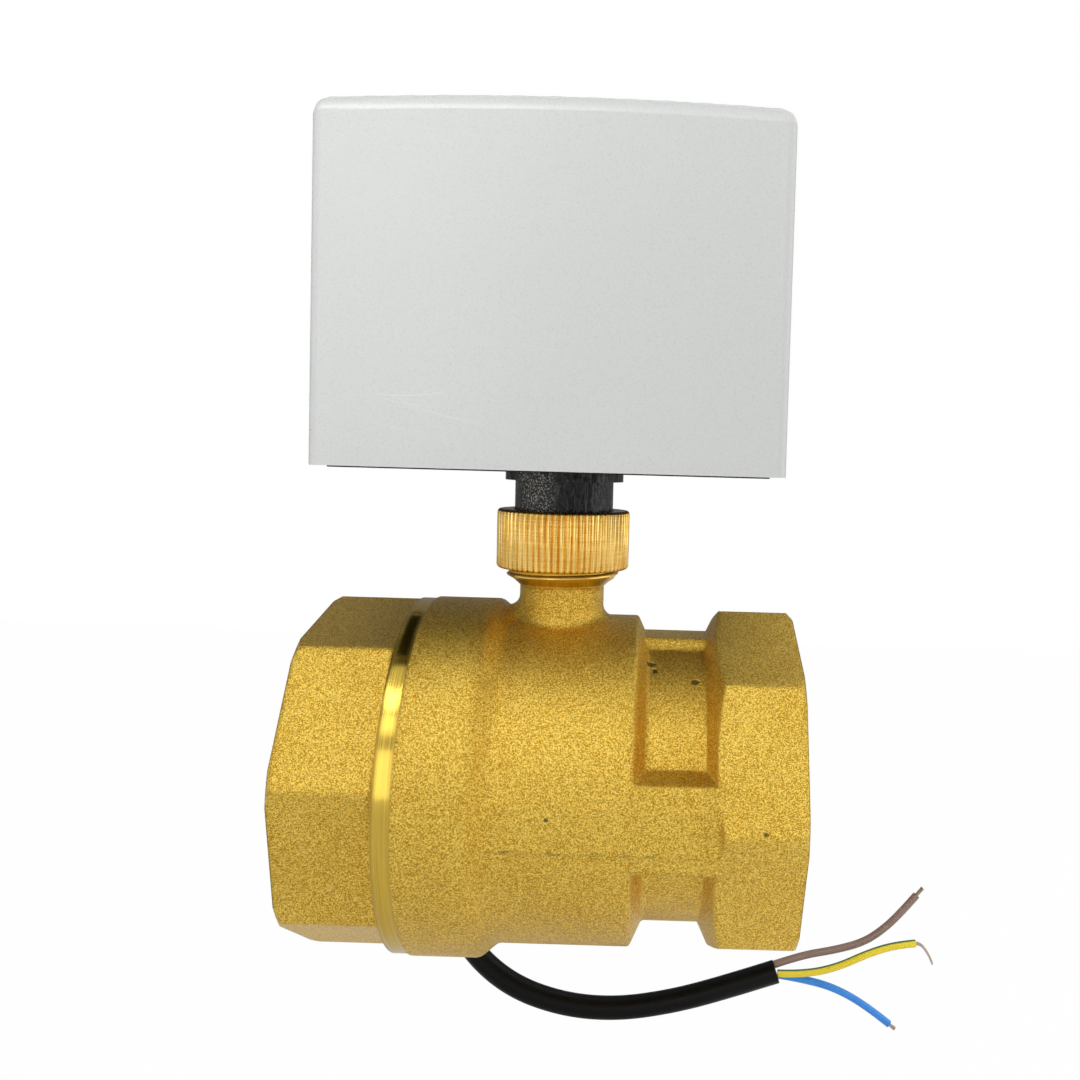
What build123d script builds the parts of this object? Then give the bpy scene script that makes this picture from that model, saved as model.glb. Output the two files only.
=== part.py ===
from build123d import *

import math
import os

# A two-piece brass ball valve with a small geared motor on its neck, held there by a knurled
# union nut. X runs along the pipe from the inlet's mouth, Z runs up the stem, and the front is
# the -Y side. Every size is in millimetres, and the rest position is the open valve.

# Pipe ends
STEM_X = 50.3
OUTLET_LENGTH = 49.5
PORT_R = 29.0
PORT_DEPTH = 15.5
PORT_CONE = 3.0
BORE_R = 19.0

# Ball, seats and the chamber round them
BALL_R = 29.5
BALL_ROOM = 1.0
CHAMBER_WALL = 3.9
SEAT_LIP = 4.5
SEAT_RIM = 2.5
SEAT_THICKNESS = 5.5
SEAT_GAP = 0.15
POCKET_GAP = 0.05

# Inlet cap and the body's collar that it screws into
CAP_WALL = 5.0
CAP_TURN = 10.0
CAP_OCTAGON_LENGTH = 19.5
CAP_JOINT_GAP = 0.1
SPIGOT_STEP = 1.4
THREAD_GAP = 0.1
COLLAR_WALL = 5.3
COLLAR_TAIL = 4.3
COLLAR_SLOPE = 3.4
SPIGOT_CHAMFER = 0.3
BAND_LENGTH = 3.7
BAND_DROP = 0.35
GASKET_THICKNESS = 1.0
GASKET_GAP = 0.05

# Waist between the chamber and the outlet octagon
WAIST_WALL = 3.3
CHAMBER_PAST_SEAT = -1.2
WAIST_SLOPE = 2.4
OUTLET_WALL = 4.5
OUTLET_SLOPE = 3.4
COLLAR_EDGE_R = 2.2
COLLAR_ROOT_R = 2.6
WAIST_EDGE_R = 1.0
OCTAGON_EDGE_R = 1.6
OCTAGON_CHAMFER = 1.2
TOP_RIB_DROP = 3.5
TOP_RIB_HALF_WIDTH = 5.0
TOP_RIB_DRAFT = 1.5
SIDE_RIB_HALF_WIDTH = 8.0
SIDE_RIB_DRAFT = 1.8
LAND_HALF_WIDTH = 4.6
LAND_DROP = 0.1

# Neck, stem and seals
NECK_R = 9.0
NECK_ROOT_R = 2.5
NECK_ABOVE_BALL = 22.0
NECK_THREAD_RIM = 1.0
NECK_THREAD_LENGTH = 10.5
NECK_THREAD_RUNOUT = 2.2
NECK_CHAMFER = 0.6
STEM_R = 5.0
RUNNING_GAP = 0.05
SHOULDER_R = 7.5
SHOULDER_HEIGHT = 1.5
SHOULDER_ROOM = 0.7
STEM_WASHER_THICKNESS = 1.0
STEM_WASHER_RIM = 0.4
END_PLAY = 0.1
STEM_ABOVE_NECK = 0.8
O_RING_R = 0.75
O_RING_SQUEEZE = 0.1
O_RING_SPACING = 4.2
TANG_THICKNESS = 5.0
TANG_WIDTH = 12.0
TANG_DEPTH = 5.2
TANG_GAP = 0.1
DRIVE_SQUARE = 7.0
DRIVE_LENGTH = 8.2
DRIVE_GAP = 0.05
DRIVE_CHAMFER = 0.6

# Knurled union nut and what holds it on the actuator's collar
NUT_WALL = 2.65
NUT_OVERLAP = 6.7
NUT_HEIGHT = 12.4
NUT_LIP = 2.3
NUT_CHAMFER = 0.5
KNURL_RIDGES = 64
KNURL_DEPTH = 0.42
KNURL_TOP_FROM = 0.35
KNURL_TOP_TO = 0.65
NUT_THREAD_GAP = 0.08
SLIDE_GAP = 0.3
SNAP_RING_THICKNESS = 1.0
SNAP_RING_RIM = 0.85
SNAP_RING_OPENING = 40.0
SNAP_GROOVE_DEPTH = 0.9
SNAP_GROOVE_UP = 1.1
NUT_WASHER_THICKNESS = 0.9

# Actuator base with its collar
COLLAR_R = 10.5
COLLAR_HEIGHT = 13.9
COLLAR_FLANGE_RIM = 2.1
COLLAR_FLANGE_HEIGHT = 2.0
COLLAR_PILOT_R = 7.4
COLLAR_PILOT_HEIGHT = 1.4
BASE_THICKNESS = 3.8
BASE_SHOWS = 0.3
BASE_GAP = 0.25
BASE_CORNER_R = 1.2
PILLAR_R = 3.0
SCREW_R = 1.5
SCREW_GAP = 0.1
SCREW_HEAD = 1.6
SCREW_HEAD_SHARE = 1.75
SCREW_FACE_SHARE = 0.6
SCREW_RIM_SHARE = 0.4
SCREW_POCKET_R = 3.0
SCREW_PAST = 1.0
COVER_SCREW_LENGTH = 11.0
COLUMN_HOLE_DEPTH = 12.0

# Moulded cover
COVER_LENGTH = 89.6
COVER_WIDTH = 58.0
COVER_HEADROOM = 2.6
COVER_CROWN = 1.3
CROWN_PAST = 1.0
COVER_WALL = 2.5
COVER_SIDE_R = 2.6
COVER_TOP_R = 4.5
COVER_OFFSET_X = -1.0
COLUMN_R = 4.6
COLUMN_INSET = 4.0

# Gear train, as plan distances from the stem
GEAR_MODULE = 0.7
OUTPUT_TEETH = 48
IDLER_TEETH = 40
SMALL_TEETH = 12
IDLER_ANGLE = 158.0
PINION_ANGLE = -80.0
GEAR_BACKLASH = 0.16
GEAR_TIP_SHARE = 0.8
GEAR_ROOT_SHARE = 1.15
GEAR_FLANK_ANGLE = 20.0
GEAR_ROOT_FLARE = 0.5
GEAR_THICKNESS = 4.0
SMALL_GEAR_THICKNESS = 3.6
IDLER_THICKNESS = 3.0
GEAR_LIFT = 0.6
IDLER_LIFT = 0.3
PINION_LIFT = 0.4
OUTPUT_SHAFT_R = 6.5
GEAR_SEAT_R = 5.0
CAM_SEAT_R = 4.0
TOP_JOURNAL_R = 3.0
FIXED_GAP = 0.02
PIN_R = 1.5
PIN_SEAT = 2.8
PIN_BOSS_R = 3.0
BOSS_GAP = 0.1
SHAFT_GAP = 0.2
PINION_WAY = 1.0
PINION_SHAFT_REACH = 4.0

# Cams and limit switches
CAM_HIGH_R = 11.0
CAM_RISE = 1.5
CAM_THICKNESS = 4.0
CAM_HUB_R = 7.0
CAM_LIFT = 1.2
CAM_HUB_SHOWS = 1.0
BUTTON_GAP = 0.3
BUTTON_ROOM = 0.08
BUTTON_TIP_R = 0.5
BUTTON_R = 1.1
BUTTON_SHOWS = 1.2
BUTTON_LENGTH = 4.2
BUTTON_HOLE_DEPTH = 5.2
SWITCH_LENGTH = 20.0
SWITCH_DEPTH = 10.0
SWITCH_HEIGHT = 6.4
SWITCH_PITCH = 6.6
SWITCH_HOLES = 9.5
SWITCH_HOLE_DEPTH = 7.1
SWITCH_SCREW_R = 1.15
SWITCH_SCREW_HEAD = 1.1
SWITCH_SCREW_BITE = 5.0
SWITCH_BOSS_R = 2.3
SWITCH_EDGE = 0.4
TERMINAL_SPACING = 7.0
TERMINAL_WIDTH = 3.2
TERMINAL_THICKNESS = 0.5
TERMINAL_LENGTH = 4.5

# Gear plate, motor, board and what stands on them
PLATE_GAP = 0.3
PLATE_THICKNESS = 1.5
PLATE_MARGIN = 3.2
MOTOR_R = 24.5
MOTOR_HEIGHT = 16.0
MOTOR_OFFSET_X = -12.4
MOTOR_EAR_REACH = 28.5
MOTOR_EAR_ANGLE = 155.0
MOTOR_EAR_R = 3.0
MOTOR_EAR_ROOT_R = 19.6
MOTOR_EAR_THICKNESS = 1.2
MOTOR_EDGE_R = 1.2
MOTOR_HEADROOM = 2.3
SPACER_R = 2.6
SPACER_STUD = 7.0
PILLARS = [(-31.2, -20.6), (11.0, -21.5), (11.0, 21.5), (-39.7, 1.0)]
BOARD_THICKNESS = 1.6
BOARD_MARGIN = 1.2
RELAY = (19.0, 15.5, 15.3)
RELAY_AT = (22.0, 8.5)
CAPACITOR = (18.0, 8.5, 14.5)
CAPACITOR_AT = (24.0, -9.0)
TERMINAL_BLOCK = (15.2, 8.0, 10.0)
TERMINAL_BLOCK_AT = (-20.0, 19.0)
TERMINALS = 3
TERMINAL_HOLE_R = 1.6
TERMINAL_HOLE_DEPTH = 4.0
BOARD_SCREW_LENGTH = 6.0
POTTED_EDGE_R = 0.8
POTTED_CHAMFER = 0.4

# Cable: its gland, sheath and three stripped wires
GLAND_AT = (-2.0, 21.6)
GLAND_FLANGE_R = 4.6
GLAND_FLANGE_THICKNESS = 1.4
GLAND_SLEEVE_R = 4.2
GLAND_TIP_R = 3.4
GLAND_LENGTH = 8.4
GLAND_INNER_R = 3.4
GLAND_INNER_LENGTH = 11.6
CABLE_R = 2.9
WIRE_R = 0.95
STRAND_R = 0.45
CABLE_POINTS = [
    (48.3, 21.6, 57.0), (48.3, 21.6, 54.2), (48.28, 22.08, 48.53), (48.2, 23.52, 43.02),
    (48.0, 26.8, 35.8), (47.6, 31.7, 29.6), (43.8, 43.5, 18.6), (35.1, 49.4, 6.0),
    (27.2, 47.7, -8.0), (19.3, 47.4, -20.2), (16.2, 45.8, -35.2), (17.8, 43.6, -49.3),
    (24.6, 43.0, -61.8), (35.3, 42.2, -70.6), (48.8, 42.0, -75.2), (62.8, 42.0, -76.2),
    (77.3, 42.0, -73.8), (91.3, 42.0, -69.6), (105.1, 42.0, -64.7),
]
BROWN_POINTS = [
    (104.7, 42.7, -63.2), (112.0, 43.5, -60.9), (120.5, 43.6, -59.3), (127.8, 43.6, -57.1),
    (132.7, 43.4, -53.6), (137.2, 43.0, -48.8), (141.2, 42.6, -43.5),
]
EARTH_POINTS = [
    (105.4, 40.8, -64.6), (112.1, 40.6, -64.5), (120.6, 40.4, -62.4), (129.0, 40.4, -58.2),
    (135.9, 40.6, -56.0), (141.0, 41.0, -55.6),
]
BLUE_POINTS = [
    (106.1, 42.7, -66.0), (112.2, 43.0, -67.0), (120.8, 43.0, -69.1), (129.4, 42.8, -73.7),
    (135.3, 42.6, -78.2),
]
BROWN_STRAND = 2.5
EARTH_STRAND = 6.5
BLUE_STRAND = 2.0
SHORTER_RUN_SHARE = 0.45

# Sizes worked out from the ones above
OUTLET_X = STEM_X + OUTLET_LENGTH
CAP_FLATS = 2 * (PORT_R + CAP_WALL)
OUTLET_FLATS = 2 * (PORT_R + OUTLET_WALL)
SEAT_REACH = math.sqrt(BALL_R**2 - (BORE_R + SEAT_LIP) ** 2)
SEAT_R = BORE_R + SEAT_LIP + SEAT_RIM
CAVITY_R = BALL_R + BALL_ROOM
CHAMBER_R = CAVITY_R + CHAMBER_WALL
SPIGOT_R = CAVITY_R + SPIGOT_STEP
BODY_COLLAR_R = SPIGOT_R + THREAD_GAP + COLLAR_WALL
SPIGOT_END_X = STEM_X - SEAT_REACH
BODY_START_X = CAP_OCTAGON_LENGTH + CAP_JOINT_GAP
BAND_END_X = BODY_START_X + BAND_LENGTH
BODY_SHOULDER_X = SPIGOT_END_X + GASKET_THICKNESS + 2 * GASKET_GAP
COLLAR_END_X = SPIGOT_END_X + COLLAR_TAIL
WAIST_R = SEAT_R + WAIST_WALL
CHAMBER_END_X = STEM_X + SEAT_REACH + CHAMBER_PAST_SEAT
WAIST_START_X = CHAMBER_END_X + WAIST_SLOPE
OUTLET_OCTAGON_X = OUTLET_X - PORT_DEPTH
WAIST_END_X = OUTLET_OCTAGON_X - OUTLET_SLOPE
PAST = 2.0
WASHER_TOP_Z = BALL_R + 2 * END_PLAY + SHOULDER_HEIGHT + STEM_WASHER_THICKNESS
NECK_TOP_Z = BALL_R + NECK_ABOVE_BALL
NECK_THREAD_R = COLLAR_R + NECK_THREAD_RIM
STEM_TOP_Z = NECK_TOP_Z + STEM_ABOVE_NECK
NUT_R = NECK_THREAD_R + NUT_WALL
NUT_BOTTOM_Z = NECK_TOP_Z - NUT_OVERLAP
NUT_TOP_Z = NUT_BOTTOM_Z + NUT_HEIGHT
NUT_THREAD_R = NECK_THREAD_R + NUT_THREAD_GAP
SNAP_RING_Z = NECK_TOP_Z + SNAP_GROOVE_UP
SNAP_RING_R = COLLAR_R + SNAP_RING_RIM
SNAP_GROOVE_R = COLLAR_R - SNAP_GROOVE_DEPTH
COLLAR_FLANGE_R = COLLAR_R + COLLAR_FLANGE_RIM
BASE_BOTTOM_Z = NECK_TOP_Z + COLLAR_HEIGHT
FLOOR_Z = BASE_BOTTOM_Z + BASE_THICKNESS
RIM_Z = BASE_BOTTOM_Z + BASE_SHOWS
COVER_X = STEM_X + COVER_OFFSET_X
COLUMN_X = COVER_LENGTH / 2 - COVER_WALL - COLUMN_INSET
COLUMN_Y = COVER_WIDTH / 2 - COVER_WALL - COLUMN_INSET
GEAR_Z = FLOOR_Z + GEAR_LIFT
IDLER_Z = GEAR_Z + GEAR_THICKNESS + IDLER_LIFT
PINION_Z = GEAR_Z + GEAR_THICKNESS + PINION_LIFT
IDLER_REACH = GEAR_MODULE * (OUTPUT_TEETH + SMALL_TEETH) / 2
PINION_REACH = GEAR_MODULE * (IDLER_TEETH + SMALL_TEETH) / 2
IDLER_X = IDLER_REACH * math.cos(math.radians(IDLER_ANGLE))
IDLER_Y = IDLER_REACH * math.sin(math.radians(IDLER_ANGLE))
PINION_X = IDLER_X + PINION_REACH * math.cos(math.radians(PINION_ANGLE))
PINION_Y = IDLER_Y + PINION_REACH * math.sin(math.radians(PINION_ANGLE))
CAM_LOW_R = CAM_HIGH_R - CAM_RISE
SWITCH_FACE_X = CAM_HIGH_R + BUTTON_GAP + BUTTON_SHOWS
CAM_FIRST_Z = PINION_Z + SMALL_GEAR_THICKNESS + CAM_LIFT
CLOSED_SWITCH_Z = CAM_FIRST_Z + CAM_THICKNESS / 2
OPEN_SWITCH_Z = CLOSED_SWITCH_Z + SWITCH_PITCH
SWITCH_FOOT_Z = CLOSED_SWITCH_Z - SWITCH_HEIGHT / 2
SWITCH_TOP_Z = OPEN_SWITCH_Z + SWITCH_HEIGHT / 2
PLATE_Z = SWITCH_TOP_Z + SWITCH_SCREW_HEAD + PLATE_GAP
PLATE_TOP_Z = PLATE_Z + PLATE_THICKNESS
BOARD_Z = PLATE_TOP_Z + MOTOR_HEIGHT + MOTOR_HEADROOM
BOARD_TOP_Z = BOARD_Z + BOARD_THICKNESS
COVER_TOP_Z = BOARD_TOP_Z + RELAY[2] + COVER_HEADROOM + COVER_WALL
GLAND_TIP_Z = BASE_BOTTOM_Z - GLAND_LENGTH
STEM_AXIS = Axis((STEM_X, 0, 0), (0, 0, 1))


def outline(plane, points):
    """A closed outline with straight sides."""
    with BuildSketch(plane) as shape:
        with BuildLine():
            Polyline(*points, close=True)
        make_face()
    return shape.sketch


def disc(x, y, z, radius):
    """A round face lying flat at a height."""
    with BuildSketch(Plane.XY.offset(z)) as shape:
        with Locations((x, y)):
            Circle(radius)
    return shape.sketch


def about_stem(points):
    """An outline of (radius, height) points beside the stem's axis."""
    return outline(Plane.XZ, [(STEM_X + radius, height) for radius, height in points])


def octagon(x, flats, turn):
    """A rounded octagon across the pipe's axis."""
    with BuildSketch(Plane.YZ.offset(x)) as shape:
        RegularPolygon(flats / 2, 8, major_radius=False, rotation=turn)
        fillet(shape.vertices(), OCTAGON_EDGE_R)
    return shape.sketch


def gear(x, y, z, teeth, facing, tooth_there):
    """A straight-sided spur gear face, with a tooth or a gap facing a direction in degrees."""
    pitch_r = GEAR_MODULE * teeth / 2
    tip_r = pitch_r + GEAR_TIP_SHARE * GEAR_MODULE
    root_r = pitch_r - GEAR_ROOT_SHARE * GEAR_MODULE
    tooth = (math.pi * GEAR_MODULE / 2 - GEAR_BACKLASH) / pitch_r
    slope = math.tan(math.radians(GEAR_FLANK_ANGLE))
    tip_half = tooth / 2 * pitch_r / tip_r - slope * (tip_r - pitch_r) / tip_r
    root_half = tooth / 2 + GEAR_ROOT_FLARE * slope * (pitch_r - root_r) / root_r
    step = 2 * math.pi / teeth
    first = math.radians(facing) + (0.0 if tooth_there else step / 2)
    points = []
    for tooth_number in range(teeth):
        middle = first + tooth_number * step
        for radius, angle in (
            (root_r, middle - root_half),
            (tip_r, middle - tip_half),
            (tip_r, middle + tip_half),
            (root_r, middle + root_half),
        ):
            points.append((x + radius * math.cos(angle), y + radius * math.sin(angle)))
    return outline(Plane.XY.offset(z), points)


def around_stem(radius, degrees):
    """A plan point at a distance from the stem's axis, in a direction from +X."""
    angle = math.radians(degrees)
    return STEM_X + radius * math.cos(angle), radius * math.sin(angle)


def cam(z, at_rest, at_end, step_at):
    """A cam face whose edge changes evenly over a quarter turn, felt by a button on the +X side.

    The edge has the radius at_rest in front of the button at rest and at_end after the turn. The
    jump between the two is at step_at degrees, where no button comes.
    """
    with BuildSketch(Plane.XY.offset(z)) as shape:
        with BuildLine():
            CenterArc((STEM_X, 0), at_rest, 0, step_at)
            Line(around_stem(at_rest, step_at), around_stem(at_end, step_at))
            CenterArc((STEM_X, 0), at_end, step_at, 270 - step_at)
            ThreePointArc(
                around_stem(at_end, -90), around_stem((at_rest + at_end) / 2, -45), around_stem(at_rest, 0)
            )
        make_face()
    return shape.sketch


def bends(points):
    """The radius of each bend of a hanging tube, as large as its two straight runs allow."""
    corners = [Vector(*point) for point in points]
    radii = []
    for before, corner, after in zip(corners, corners[1:], corners[2:]):
        arriving, leaving = corner - before, after - corner
        turn = math.radians(arriving.get_angle(leaving))
        shorter = min(arriving.length, leaving.length)
        radii.append(SHORTER_RUN_SHARE * shorter / math.tan(turn / 2))
    return radii


def tube(points, radius, name):
    """A hanging tube along straight runs joined by arcs."""
    radii = bends(points)
    with BuildPart() as shape:
        with BuildLine() as route:
            FilletPolyline(*points, radius=radii)
        with BuildSketch(Plane(route.line @ 0, z_dir=route.line % 0)):
            Circle(radius)
        sweep(path=route.line)
    length = sum(edge.length for edge in route.line.edges())
    share = shape.part.volume / (math.pi * radius**2 * length)
    print(f"{name}: {length:.1f} mm long, tightest bend {min(radii):.1f} mm,", end=" ")
    print(f"volume {share:.3f} of section times length")
    return shape


def strand(points, length):
    """The bare copper at the end of a wire, going on the way the wire ends."""
    last, before = Vector(*points[-1]), Vector(*points[-2])
    with BuildPart() as shape:
        with BuildSketch(Plane(last, z_dir=last - before)):
            Circle(STRAND_R)
        extrude(amount=length)
    return shape


def limit_switch(z):
    """A snap-action switch on its side, with its three terminals and its fixing holes."""
    face = STEM_X + SWITCH_FACE_X
    with BuildPart() as shape:
        with Locations((face + SWITCH_DEPTH / 2, 0, z)):
            Box(SWITCH_DEPTH, SWITCH_LENGTH, SWITCH_HEIGHT)
        chamfer(shape.edges().filter_by(Axis.Z), SWITCH_EDGE)
        with BuildSketch(Plane.YZ.offset(face)):
            with Locations((0, z)):
                Circle(BUTTON_R + BUTTON_ROOM)
        extrude(amount=BUTTON_HOLE_DEPTH, mode=Mode.SUBTRACT)
        with BuildSketch(Plane.XY.offset(z - SWITCH_HEIGHT)):
            with Locations((face + SWITCH_HOLE_DEPTH, 0)):
                with GridLocations(0, SWITCH_HOLES, 1, 2):
                    Circle(SWITCH_SCREW_R + SCREW_GAP)
        extrude(amount=2 * SWITCH_HEIGHT, mode=Mode.SUBTRACT)
        with BuildSketch(Plane.YZ.offset(face + SWITCH_DEPTH)):
            with Locations((0, z)):
                with GridLocations(TERMINAL_SPACING, 0, 3, 1):
                    Rectangle(TERMINAL_WIDTH, TERMINAL_THICKNESS)
        extrude(amount=TERMINAL_LENGTH)
    return shape


def button(tip_x, z):
    """A switch's plunger, with its rounded tip towards the cam."""
    with BuildPart() as shape:
        with BuildSketch(Plane.YZ.offset(STEM_X + tip_x)):
            with Locations((0, z)):
                Circle(BUTTON_R)
        extrude(amount=BUTTON_LENGTH)
        fillet(shape.edges().group_by(Axis.X)[0], BUTTON_TIP_R)
    return shape


def screw(x, y, seat_z, side, length, radius=SCREW_R, head=SCREW_HEAD):
    """A round-headed screw: the head stands on a face at seat_z, on its upper (+1) or lower side (-1)."""
    head_r = SCREW_HEAD_SHARE * radius
    points = [
        (0, head),
        (SCREW_FACE_SHARE * head_r, head),
        (head_r, SCREW_RIM_SHARE * head),
        (head_r, 0),
        (radius, 0),
        (radius, -length),
        (0, -length),
    ]
    placed = [(x + r, seat_z + side * z) for r, z in points]
    with BuildPart() as shape:
        revolve(outline(Plane.XZ.offset(-y), placed), axis=Axis((x, y, 0), (0, 0, 1)))
    return shape.part


def boxed(size, place):
    """A potted part on the board, with its edges eased."""
    with BuildPart() as shape:
        with Locations((STEM_X + place[0], place[1], BOARD_TOP_Z + size[2] / 2)):
            Box(*size)
        fillet(shape.edges().filter_by(Axis.Z), POTTED_EDGE_R)
        chamfer(shape.faces().sort_by(Axis.Z)[-1].edges(), POTTED_CHAMFER)
    return shape


def cover_front(inset, edge_r):
    """The cover's front outline at an inset from its walls: straight sides, a slightly crowned top."""
    left, right = COVER_X - COVER_LENGTH / 2 + inset, COVER_X + COVER_LENGTH / 2 - inset
    top, below = COVER_TOP_Z - inset, RIM_Z - PAST
    with BuildSketch(Plane.XZ.offset(inset - COVER_WIDTH / 2)) as shape:
        with BuildLine():
            ThreePointArc((left, top), (COVER_X, top + COVER_CROWN), (right, top))
            Polyline((right, top), (right, below), (left, below), (left, top))
        make_face()
        if edge_r:
            fillet(shape.vertices().group_by(Axis.Y)[-1], edge_r)
    return shape.sketch


def seat(towards):
    """A seat ring, hollowed to the ball, on the inlet's side (-1) or the outlet's side (+1)."""
    hollow_r = BALL_R + SEAT_GAP

    def at(radius):
        return STEM_X + towards * math.sqrt(hollow_r**2 - radius**2), radius

    near = STEM_X + towards * SEAT_REACH
    far = near + towards * SEAT_THICKNESS
    rim_r = math.sqrt(hollow_r**2 - SEAT_REACH**2)
    with BuildPart() as shape:
        with BuildSketch(Plane.XZ):
            with BuildLine():
                ThreePointArc(at(BORE_R), at((BORE_R + rim_r) / 2), (near, rim_r))
                Polyline((near, rim_r), (near, SEAT_R), (far, SEAT_R), (far, BORE_R), at(BORE_R))
            make_face()
        revolve(axis=Axis.X)
    return shape


def on_neck_foot(edge):
    """Whether an edge runs round the foot of the neck, where it leaves the chamber."""
    places = [edge.position_at(share) for share in (0.0, 0.2, 0.5, 0.8, 1.0)]
    reach = [math.hypot(place.X - STEM_X, place.Y) for place in places]
    heights = [place.Z for place in places]
    on_neck = max(abs(r - NECK_R) for r in reach) < FIXED_GAP
    return on_neck and 0 < min(heights) and max(heights) < BODY_COLLAR_R


# The outlet octagon, cut back to a cone where it leaves the waist and chamfered at its mouth.
octagon_r = OUTLET_FLATS / 2 / math.cos(math.radians(22.5))
outlet_limit = [
    (WAIST_END_X, 0),
    (WAIST_END_X, WAIST_R),
    (OUTLET_OCTAGON_X, octagon_r),
    (OUTLET_X - OCTAGON_CHAMFER, octagon_r),
    (OUTLET_X, octagon_r - OCTAGON_CHAMFER),
    (OUTLET_X, 0),
]
with BuildPart() as outlet_end:
    extrude(octagon(WAIST_END_X, OUTLET_FLATS, 0.0), amount=OUTLET_X - WAIST_END_X)
    revolve(outline(Plane.XZ, outlet_limit), axis=Axis.X, mode=Mode.INTERSECT)

# Ribs that stiffen the waist: one under the neck's line and one on each side.
rib_top = CHAMBER_R - TOP_RIB_DROP
rib_foot = math.sqrt(WAIST_R**2 - (TOP_RIB_HALF_WIDTH + TOP_RIB_DRAFT) ** 2)
side_foot = math.sqrt(WAIST_R**2 - (SIDE_RIB_HALF_WIDTH + SIDE_RIB_DRAFT) ** 2)
waist_length = OUTLET_OCTAGON_X - CHAMBER_END_X
with BuildPart() as waist_ribs:
    with BuildSketch(Plane.YZ.offset(CHAMBER_END_X)):
        with BuildLine():
            Polyline(
                (-TOP_RIB_HALF_WIDTH - TOP_RIB_DRAFT, rib_foot),
                (-TOP_RIB_HALF_WIDTH, rib_top),
                (TOP_RIB_HALF_WIDTH, rib_top),
                (TOP_RIB_HALF_WIDTH + TOP_RIB_DRAFT, rib_foot),
                (0, 0),
                close=True,
            )
        make_face()
    extrude(amount=waist_length)
    with BuildSketch(Plane.YZ.offset(CHAMBER_END_X)):
        with BuildLine():
            Polyline(
                (side_foot, -SIDE_RIB_HALF_WIDTH - SIDE_RIB_DRAFT),
                (CHAMBER_R, -SIDE_RIB_HALF_WIDTH),
                (CHAMBER_R, SIDE_RIB_HALF_WIDTH),
                (side_foot, SIDE_RIB_HALF_WIDTH + SIDE_RIB_DRAFT),
                (0, 0),
                close=True,
            )
        make_face()
        mirror(about=Plane.YZ)
    extrude(amount=waist_length)
    with BuildSketch(Plane.YZ.offset(CHAMBER_END_X)):
        Circle(CHAMBER_R)
    extrude(amount=waist_length, mode=Mode.INTERSECT)

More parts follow.
